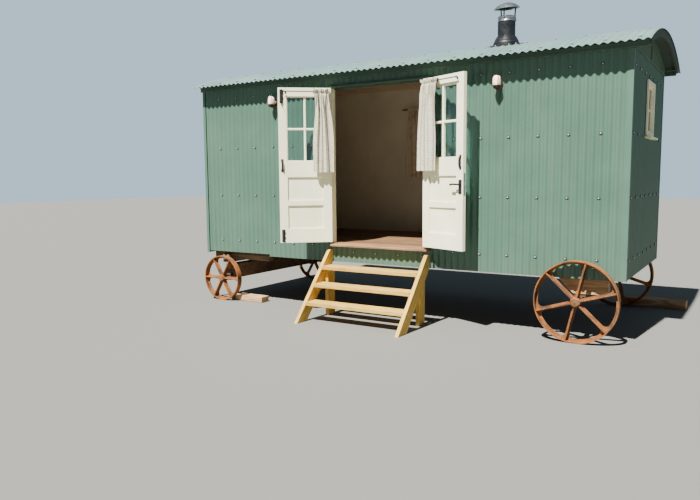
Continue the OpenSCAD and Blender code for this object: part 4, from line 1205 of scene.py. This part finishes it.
def buildLever(fit, plan):
    x, z = leafPlan["wide"] - plan["inset"], plan["lever"]
    points = [(x, 0.006, z), (x, 0.030, z), (x - 0.006, 0.043, z), (x - 0.030, 0.046, z + 0.001),
              (x - 0.080, 0.046, z + 0.002), (x - 0.104, 0.044, z - 0.001), (x - 0.114, 0.038, z - 0.006)]
    handle = bent([fit.put(*point) for point in points], plan["leverThick"], 5)
    fit.rod(x, (0.0062, 0.018), z, 0.0088, 24)
    handle = eased(together([handle, *fit.rounds]), angle=50)
    handIn("leverHandle", hang(handle, -1), "blackIron", "lever", "black_iron", "lever_handle")


def buildLock(fit, plan):
    w, z, pin = leafPlan["wide"], plan["lever"], leafPlan["pin"]
    x, keyZ = w - plan["inset"], z - plan["keyDown"]
    strip = block(onLeaf(-1, w - 0.0004, pin + 0.010, z - 0.115),
                  onLeaf(-1, w + 0.0016, innerFace - 0.010, z + 0.120))
    latch = prism([onLeaf(-1, w, pin + 0.015, z - 0.012), onLeaf(-1, w + 0.010, pin + 0.016, z - 0.012),
                   onLeaf(-1, w, innerFace - 0.015, z - 0.012)], (0, 0, 0.024))
    fit.rod(x, (0.0066, 0.026), keyZ, 0.0021, 12)
    bow = spun([(0.0085, -0.001), (0.0085, 0.001), (0.0045, 0.001), (0.0045, -0.001), (0.0085, -0.001)],
               fit.put(x, 0.032, keyZ), (1, 0, 0), 24)
    turns = [math.tau * k / 14 for k in range(15)]
    loop = [fit.put(x, 0.033 + 0.012 * math.sin(t), keyZ - 0.018 + 0.012 * math.cos(t)) for t in turns]
    parts = eased(together([strip, latch, *fit.rounds, bow, bent(loop, 0.0009, 2)]), angle=40)
    handIn("lockSteel", hang(parts, -1), "steel", "right_door", "steel")


buildFittings(1, "leftLeafIron", "left_door", "left_leaf_fittings")
buildFittings(-1, "rightLeafIron", "right_door", "right_leaf_fittings")
buildLever(Fittings(-1), ironPlan)
buildLock(Fittings(-1), ironPlan)
print("ironwork made")


# curtains

drapePlan = {"flat": (0.42, 1.03), "top": 0.196, "neck": 0.160, "bottom": 0.254, "folds": 3.7, "ruffles": 5.6,
             "columns": 150, "rows": 120, "casing": 0.036, "frill": 0.013, "heading": 0.070, "swing": 0.105,
             "pinch": 0.0, "pinchAt": 0.58, "seed": 0.0, "rodGap": 0.0088, "stand": 0.0235, "tie": 0.048,
             "waver": 0.007, "inset": 0.1025, "aside": 0.018, "thick": 0.0009}


def rowShape(plan, t, gather, width):
    # one row of the cloth seen from above, before it is given its depth
    columns, seed, folds = plan["columns"], plan["seed"], plan["folds"]
    xs, ys = [], []
    for i in range(columns + 1):
        u = i / columns
        phase = math.tau * (folds * u + 0.24 * math.sin(math.tau * (1.1 * u + 0.23) + seed)
                            + 0.10 * math.sin(math.tau * (0.7 * t + 1.3 * u) + seed))
        tight = math.tau * (plan["ruffles"] * u + 0.35 * math.sin(math.tau * 2.1 * u + seed))
        fold = 2 * (0.5 + 0.5 * math.sin(phase)) ** 0.45 - 1  # broad crests, narrow creases
        fold += 0.30 * math.sin(0.61 * phase + seed + 2 * t) + 0.12 * math.sin(2 * phase + 0.8 + seed)
        ruffle = math.sin(tight) * (0.8 + 0.4 * math.sin(9 * u + seed)) + 0.25 * math.sin(2.3 * tight + 1)
        ys.append((1 - gather) * ruffle + gather * fold)
        xs.append(width * (u - 0.5) + gather * plan["swing"] * width / folds * math.sin(2 * phase))
    return xs, ys


def gatheredRow(plan, t):
    # its folds are as deep as it takes to use up the width that the cloth was cut to
    wide, long = plan["flat"]
    drop = t * long - plan["casing"] - plan["frill"]
    width = plan["top"] + (plan["neck"] - plan["top"]) * ease(drop, 0.01, plan["heading"])
    width += (plan["bottom"] - plan["neck"]) * ease(drop, plan["heading"], 0.72)
    width *= 1 - plan["pinch"] * math.exp(-((t - plan["pinchAt"]) / 0.10) ** 2)
    xs, ys = rowShape(plan, t, ease(drop, plan["heading"] * 0.7, 0.30), width)
    low, high = 0.0, 0.05
    for _ in range(22):
        lift = (low + high) / 2
        run = sum(math.hypot(xs[i + 1] - xs[i], lift * (ys[i + 1] - ys[i])) for i in range(len(xs) - 1))
        low, high = (lift, high) if run < wide else (low, lift)
    return xs, [lift * y for y in ys], lift


def clothSheet(plan, place):
    # a gathered sheet: a frill, a casing round the rod, then folds that open down to the hem
    wide, long = plan["flat"]
    casing, frill, rodGap = plan["casing"], plan["frill"], plan["rodGap"]
    obj = flatGrid(plan["columns"], plan["rows"])
    hollow = obj.data.attributes.new("hollow", "FLOAT", "POINT")
    table = [gatheredRow(plan, j / plan["rows"]) for j in range(plan["rows"] + 1)]
    for vertex in obj.data.vertices:
        i = round((vertex.co.x + 0.5) * plan["columns"])
        j = round((0.5 - vertex.co.y) * plan["rows"])
        xs, ys, lift = table[j]
        down = j / plan["rows"] * long
        drop = down - casing - frill
        if drop < 0:  # up behind the rod
            depth, height = -rodGap - (lift + ys[i]) * 0.6, down - casing * 0.55
        else:
            below = ease(drop, 0.06, 0.25)
            out = rodGap + (lift + ys[i]) * (1 - below) + below * (plan["stand"] + ys[i])
            tied = math.exp(-((drop - plan["tie"]) / 0.014) ** 2)  # drawn in under the heading
            depth, height = out - 0.75 * (out - 0.009) * tied, casing * 0.45 + frill - drop
        wavy = math.sin(14 * i / plan["columns"] + plan["seed"])
        height += plan["waver"] * wavy * math.exp(-((down - casing - frill * 0.5) / 0.030) ** 2)
        # how far down in a fold's valley each point lies, for the painted shade there
        hollow.data[vertex.index].value = ease(-ys[i] / lift, -0.8, 0.6) * ease(down, 0.02, 0.09)
        vertex.co = place(xs[i], depth, height)
    layer = obj.data.uv_layers[0]
    layer.name = "cloth"
    for corner in layer.data:
        corner.uv = (corner.uv[0] * wide, corner.uv[1] * long)
    applied(obj, "SOLIDIFY", thickness=plan["thick"], offset=0)
    bpy.ops.object.shade_smooth_by_angle(angle=math.radians(60))
    return obj


def doorCurtain(hand, name, body, node, wider, **changes):
    plan = {**drapePlan, **changes}
    plan.update({key: plan[key] + wider for key in ("top", "neck", "bottom")})

    def place(x, y, z):
        # the heading stands aside, off the frame's stop when the door is shut
        aside = plan["inset"] + wider / 2 + plan["aside"] * (1 - ease(-z, 0.02, 0.4))
        return onLeaf(hand, aside + x, innerFace + ironPlan["rodOut"] + y,
                      leafPlan["high"] - ironPlan["rodDown"] + z)

    cloth = clothSheet(plan, place)
    handIn(name, hang(cloth, hand), "drape", body, "curtain_cream", node)


doorCurtain(1, "leftCurtain", "left_door", "left_curtain", 0.0, seed=0.4)
doorCurtain(-1, "rightCurtain", "right_door", "right_curtain", 0.058, seed=2.1, flat=(0.41, 1.03), folds=4.3,
            ruffles=6.6, swing=0.050)

railPlan = {**drapePlan, "flat": (0.40, 1.06), "top": 0.170, "bottom": 0.225, "folds": 3.8, "pinch": 0.24,
            "columns": 110, "rows": 90}
rail = {"y": 1.9907, "z": 1.990, "apart": 0.5325}


def backCurtain(side, name, seed):
    def place(x, y, z):
        return at(backWindow["x"] + side * rail["apart"] + x, rail["y"] - y, rail["z"] + z)

    cloth = clothSheet({**railPlan, "seed": seed}, place)
    handIn(name, cloth, "tawny", "hut", "curtain_brown", "back_curtain")


backCurtain(-1, "backCurtainLeft", 3.3)
backCurtain(1, "backCurtainRight", 5.2)
print("curtains hung")


# windows

sashPlan = {"out": -0.018, "off": 0.0003, "lip": 0.022, "rebate": 0.012, "sash": 0.034, "bar": 0.008,
            "bead": 0.014, "beads": ((0.006, 0.0225), (0.0275, 0.044)), "sillWider": 0.050, "sillOut": -0.060,
            "sillBelow": (0.045, 0.025)}


def windowParts(plan, opening, place, parts):
    w, h, off, sash = opening["wide"] / 2, opening["high"], plan["off"], plan["sash"]

    def add(x0, y0, z0, x1, y1, z1):
        parts.append(block(place(x0, y0, z0), place(x1, y1, z1)))

    def addRing(y, outer, inner):
        # outer and inner edges, in from the opening
        add(-w + outer, y[0], outer, w - outer, y[1], inner)
        add(-w + outer, y[0], h - inner, w - outer, y[1], h - outer)
        add(-w + outer, y[0], inner, -w + inner, y[1], h - inner)
        add(w - inner, y[0], inner, w - outer, y[1], h - inner)

    addRing((plan["out"], -off), -plan["lip"], sash - plan["rebate"])
    addRing((-off, hut["lining"]), off, sash)
    for y in plan["beads"]:
        addRing(y, sash, sash + plan["bead"])
    add(-plan["bar"], 0.010, sash, plan["bar"], 0.040, h - sash)
    add(-w + sash, 0.011, h / 2 - plan["bar"], w - sash, 0.039, h / 2 + plan["bar"])
    wide, (low, high) = w + plan["sillWider"], plan["sillBelow"]
    add(-wide, plan["sillOut"], -low, wide, -off, -high)


def endWindowPlace(x, y, z):
    return at(hut["length"] - y, hut["width"] / 2 + x, endWindow["z"] + z)


def backWindowPlace(x, y, z):
    return at(backWindow["x"] - x, hut["width"] - y, backWindow["z"] + z)


windows = []
windowParts(sashPlan, endWindow, endWindowPlace, windows)
windowParts(sashPlan, backWindow, backWindowPlace, windows)
handIn("windowFrames", eased(together(windows), 0.0028), "cream", "hut", "cream_paint", "window_frames")
print("windows made")


# lamps

lampPlan = {"xs": (1.252, 4.222), "out": 0.064, "z": 1.978, "low": -0.056, "high": 0.120, "arm": 0.0065,
            "guard": 0.0448, "guardThick": 0.0020, "guards": 4, "firstGuard": 0.6}


def buildLamps(plan):
    base = plan["low"]
    top = base + plan["high"]
    jar = [(0.0, base + 0.003), (0.030, base + 0.003), (0.0385, base + 0.008), (0.042, base + 0.018),
           (0.042, top - 0.046), (0.0405, top - 0.030), (0.0355, top - 0.014), (0.026, top - 0.003),
           (0.013, top + 0.003), (0.0, top + 0.0045), (0.0, top + 0.0015), (0.012, top), (0.0245, top - 0.006),
           (0.033, top - 0.0165), (0.0375, top - 0.031), (0.039, top - 0.047), (0.039, base + 0.019),
           (0.036, base + 0.011), (0.029, base + 0.0065), (0.0, base + 0.0065)]
    bulb = [(0.0, base + 0.010), (0.026, base + 0.012), (0.0345, base + 0.022), (0.0355, base + 0.040),
            (0.0345, base + 0.066), (0.031, base + 0.088), (0.024, base + 0.103), (0.012, base + 0.111),
            (0.0, base + 0.113)]
    finial = [(0.0, top + 0.016), (0.007, top + 0.014), (0.010, top + 0.009), (0.016, top + 0.007),
              (0.0165, top + 0.004), (0.0, top + 0.004)]
    cup = [(0.0, base - 0.016), (0.014, base - 0.016), (0.024, base - 0.012), (0.034, base - 0.003),
           (0.0355, base + 0.004), (0.0405, base + 0.009), (0.0425, base + 0.013), (0.0435, base + 0.019),
           (0.0425, base + 0.019), (0.038, base + 0.006), (0.0, base + 0.002)]
    wallPlate = [(0.0, 0.019), (0.012, 0.019), (0.018, 0.014), (0.036, 0.011), (0.044, 0.007), (0.048, 0.001),
                 (0.048, -0.0005), (0.0, -0.0005)]
    armPath = [(-0.012, -0.030), (-0.030, -0.034), (-0.040, -0.056), (-0.052, -0.074), (-plan["out"], -0.068)]
    guardPath = [(1.0, base + 0.014), (1.0, top - 0.046), (0.93, top - 0.018), (0.62, top + 0.003),
                 (0.25, top + 0.008)]
    metal, glass, bulbs = [], [], []
    for x in plan["xs"]:
        wallSpot = at(x, 0, plan["z"])
        middle = wallSpot - Vector((0, plan["out"], 0))
        glass.append(spun(jar, middle))
        bulbs.append(spun(bulb, middle, steps=32))
        metal += [spun(finial, middle), spun(cup, middle)]
        metal.append(spun(wallPlate, wallSpot + Vector((0, -0.0002, -0.030)), (0, -1, 0)))
        metal.append(bent([wallSpot + Vector((0, dy, dz)) for dy, dz in armPath], plan["arm"], 5))
        for k in range(plan["guards"]):  # slim guard rods outside the glass
            angle = plan["firstGuard"] + k * 1.57
            away = plan["guard"] * Vector((math.cos(angle), math.sin(angle), 0))
            metal.append(bent([middle + away * share + Vector((0, 0, z)) for share, z in guardPath],
                              plan["guardThick"], 3))
    handIn("lampMetal", eased(together(metal), angle=45), "copper", "hut", "lamp_bronze", "lamp_mounts")
    handIn("lampJars", eased(together(glass), angle=60), "jar", "hut", "lamp_glass", "lamp_glasses")
    handIn("lampBulbs", eased(together(bulbs), angle=60), "bulb", "hut", "lamp_glass")


buildLamps(lampPlan)


# flue

fluePlan = {"r": 0.095, "cowl": 0.140, "collar": 0.060, "domeLow": 0.150, "domeRise": 0.062, "skirt": 0.142,
            "lean": (0.018, 0.125), "struts": (30, 150, 270), "strut": 0.0075, "strutTop": 0.176, "wall": 0.022,
            "pleats": 4, "apron": (0.388, 0.292), "apronGrid": (96, 40), "apronThick": 0.0025, "pressed": 0.93}
pipeLow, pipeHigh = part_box("flue_pipe")
pipeSpot = Vector(((pipeLow.x + pipeHigh.x) / 2, (pipeLow.y + pipeHigh.y) / 2, 0))


def buildPipe(plan):
    r, base, top = plan["r"], pipeLow.z, pipeHigh.z
    pipe = spun([(0.0, base), (r, base), (r, top - 0.034), (r + 0.0022, top - 0.033), (r + 0.0022, top - 0.026),
                 (r, top - 0.025), (r, top - 0.001), (r - 0.003, top), (r - plan["wall"], top),
                 (r - plan["wall"], base + 0.030), (0.0, base + 0.030)], pipeSpot, steps=72)
    side = pipeSpot + Vector((r * 0.8, r * 0.6, 0))
    seam = bar(side + Vector((0, 0, base + 0.05)), side + Vector((0, 0, top - 0.035)), 0.0018, 8)
    handIn("fluePipe", eased(together([pipe, seam]), angle=40), "flue", "hut", "flue_black", "flue_pipe")


def domeShape(plan, drop, reach):
    # points of the domed cap from its middle to its edge
    sphere = (plan["cowl"] ** 2 + plan["domeRise"] ** 2) / (2 * plan["domeRise"])
    crown = pipeHigh.z + plan["domeLow"] + plan["domeRise"] - sphere - drop
    return [(reach * k / 12, crown + math.sqrt(sphere ** 2 - (reach * k / 12) ** 2)) for k in range(13)]


def leaned(obj, lean):
    for vertex in obj.data.vertices:
        vertex.co.z += lean[0] * (vertex.co.x - pipeSpot.x) + lean[1] * (vertex.co.y - pipeSpot.y)
    return obj


def buildCowl(plan):
    r, top, lip, lean = plan["r"], pipeHigh.z, plan["cowl"], plan["lean"]
    ringTop, edge = top + plan["collar"], top + plan["domeLow"]
    collar = spun([(r - 0.004, top + 0.0003), (r + 0.003, top + 0.003), (r + 0.003, top + 0.014),
                   (r - 0.003, top + 0.018), (r - 0.003, ringTop - 0.018), (r + 0.0005, ringTop - 0.014),
                   (r + 0.0005, ringTop - 0.005), (r - 0.003, ringTop), (r - 0.024, ringTop - 0.001),
                   (r - 0.024, top + 0.0003), (r - 0.004, top + 0.0003)], pipeSpot, steps=72)
    rim = [(lip + 0.002, edge - 0.002), (lip + 0.0005, edge - 0.0045), (lip - 0.003, edge - 0.0035),
           (lip - 0.005, edge)]
    dome = domeShape(plan, 0.0, lip) + rim + domeShape(plan, 0.003, lip - 0.008)[::-1]

    def put(x, y, z):
        return pipeSpot + Vector((r + x, y, top + z))

    lugs = [block(put(0.001, y, 0.003), put(0.014, y + 0.005, 0.016)) for y in (-0.014, 0.004)]
    lugs.append(bar(put(0.008, -0.020, 0.0095), put(0.008, 0.018, 0.0095), 0.0032, 10))
    dome = leaned(spun(dome, pipeSpot, steps=72), lean)
    parts = [collar, dome, eased(together(lugs), 0.0008, 1)]

    spots, stays = [], []
    for degrees in plan["struts"]:
        turn = Matrix.Rotation(math.radians(degrees), 4, "Z")
        side = turn @ Vector((r + 0.004, 0, 0))
        head = plan["strutTop"] + lean[0] * side.x + lean[1] * side.y
        path = [(r - 0.002, 0.010), (r + 0.001, 0.046), (r - 0.006, 0.072), (r - 0.004, 0.110),
                (r + 0.004, head)]
        stays.append(bent([pipeSpot + turn @ Vector((x, 0, top + z)) for x, z in path], plan["strut"], 3))
        for z in (0.020, 0.042):
            spots.append((pipeSpot + turn @ Vector((r + 0.0058, 0, top + z)), turn @ Vector((1, 0, 0))))
    parts.append(scattered(screwHead(0.0048), spots))
    handIn("flueCowl", eased(together(parts), angle=35), "cowlSteel", "hut", "steel", "flue_cowl")
    # a black layer just under the cap: soot, and painted shade for its dark underside
    sootAndShade = domeShape(plan, 0.0034, lip - 0.009) + domeShape(plan, 0.0042, lip - 0.009)[::-1]
    stays.append(leaned(spun(sootAndShade, pipeSpot, steps=72), lean))
    handIn("flueStays", eased(together(stays), angle=50), "flue", "hut", "black_iron")


def buildBoot(plan):
    # a pleated rubber boot on an apron that is pressed into the roof's waves
    r, skirt, crown = plan["r"], plan["skirt"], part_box("flue_flashing")[1].z
    profile = [(r + 0.0004, crown - 0.002), (r + 0.004, crown), (r + 0.009, crown - 0.003)]
    for k in range(plan["pleats"]):
        z = crown - 0.006 - k * 0.0160
        out = r + 0.009 + (skirt - r - 0.014) * ((k + 0.2) / plan["pleats"]) ** 0.7
        profile += [(out, z), (out + 0.001, z - 0.010), (out + 0.006, z - 0.0135)]
    profile += [(skirt + 0.001, crown - 0.078), (skirt + 0.004, crown - 0.132), (skirt - 0.02, crown - 0.136),
                (r + 0.002, crown - 0.136), (r + 0.0004, crown - 0.002)]
    boot = spun(profile, pipeSpot, steps=64)
    x0, y0 = pipeSpot.x - leftEnd + arch["left"], pipeSpot.y - frontFace - hut["width"] / 2

    def onRoof(x, y, lift):
        s = math.asin((y0 + y) / roofRadius)
        return roofPlace(x0 + x, wave(x0 + x) * plan["pressed"] - lift, s), (0, math.sin(s), math.cos(s))

    apron = flatGrid(*plan["apronGrid"])
    for vertex in apron.data.vertices:
        u, v = vertex.co.x, vertex.co.y
        inward = 1 - max(abs(u), abs(v)) * 2
        lift = 0.0024 + 0.0018 * math.sin(u * 61) * math.sin(v * 47) + 0.004 * ease(inward, 0, 0.5)
        vertex.co = onRoof(u * plan["apron"][0], v * plan["apron"][1], lift)[0]
    applied(apron, "SOLIDIFY", thickness=plan["apronThick"], offset=1)
    boot = eased(together([boot, apron]), angle=35)
    handIn("flueBoot", boot, "rubber", "hut", "rubber_black", "flue_flashing")
    spots = [(k * sheeting["pitch"], j * 0.134) for k in range(-2, 3) for j in (-1, 1)]
    spots += [(k * 0.182, j * 0.062) for k in (-1, 1) for j in (-1, 1)]
    placeScrews("flueScrew", [onRoof(x, y, 0.0052) for x, y in spots])


buildPipe(fluePlan)
buildCowl(fluePlan)
buildBoot(fluePlan)
print("lamps and flue made")
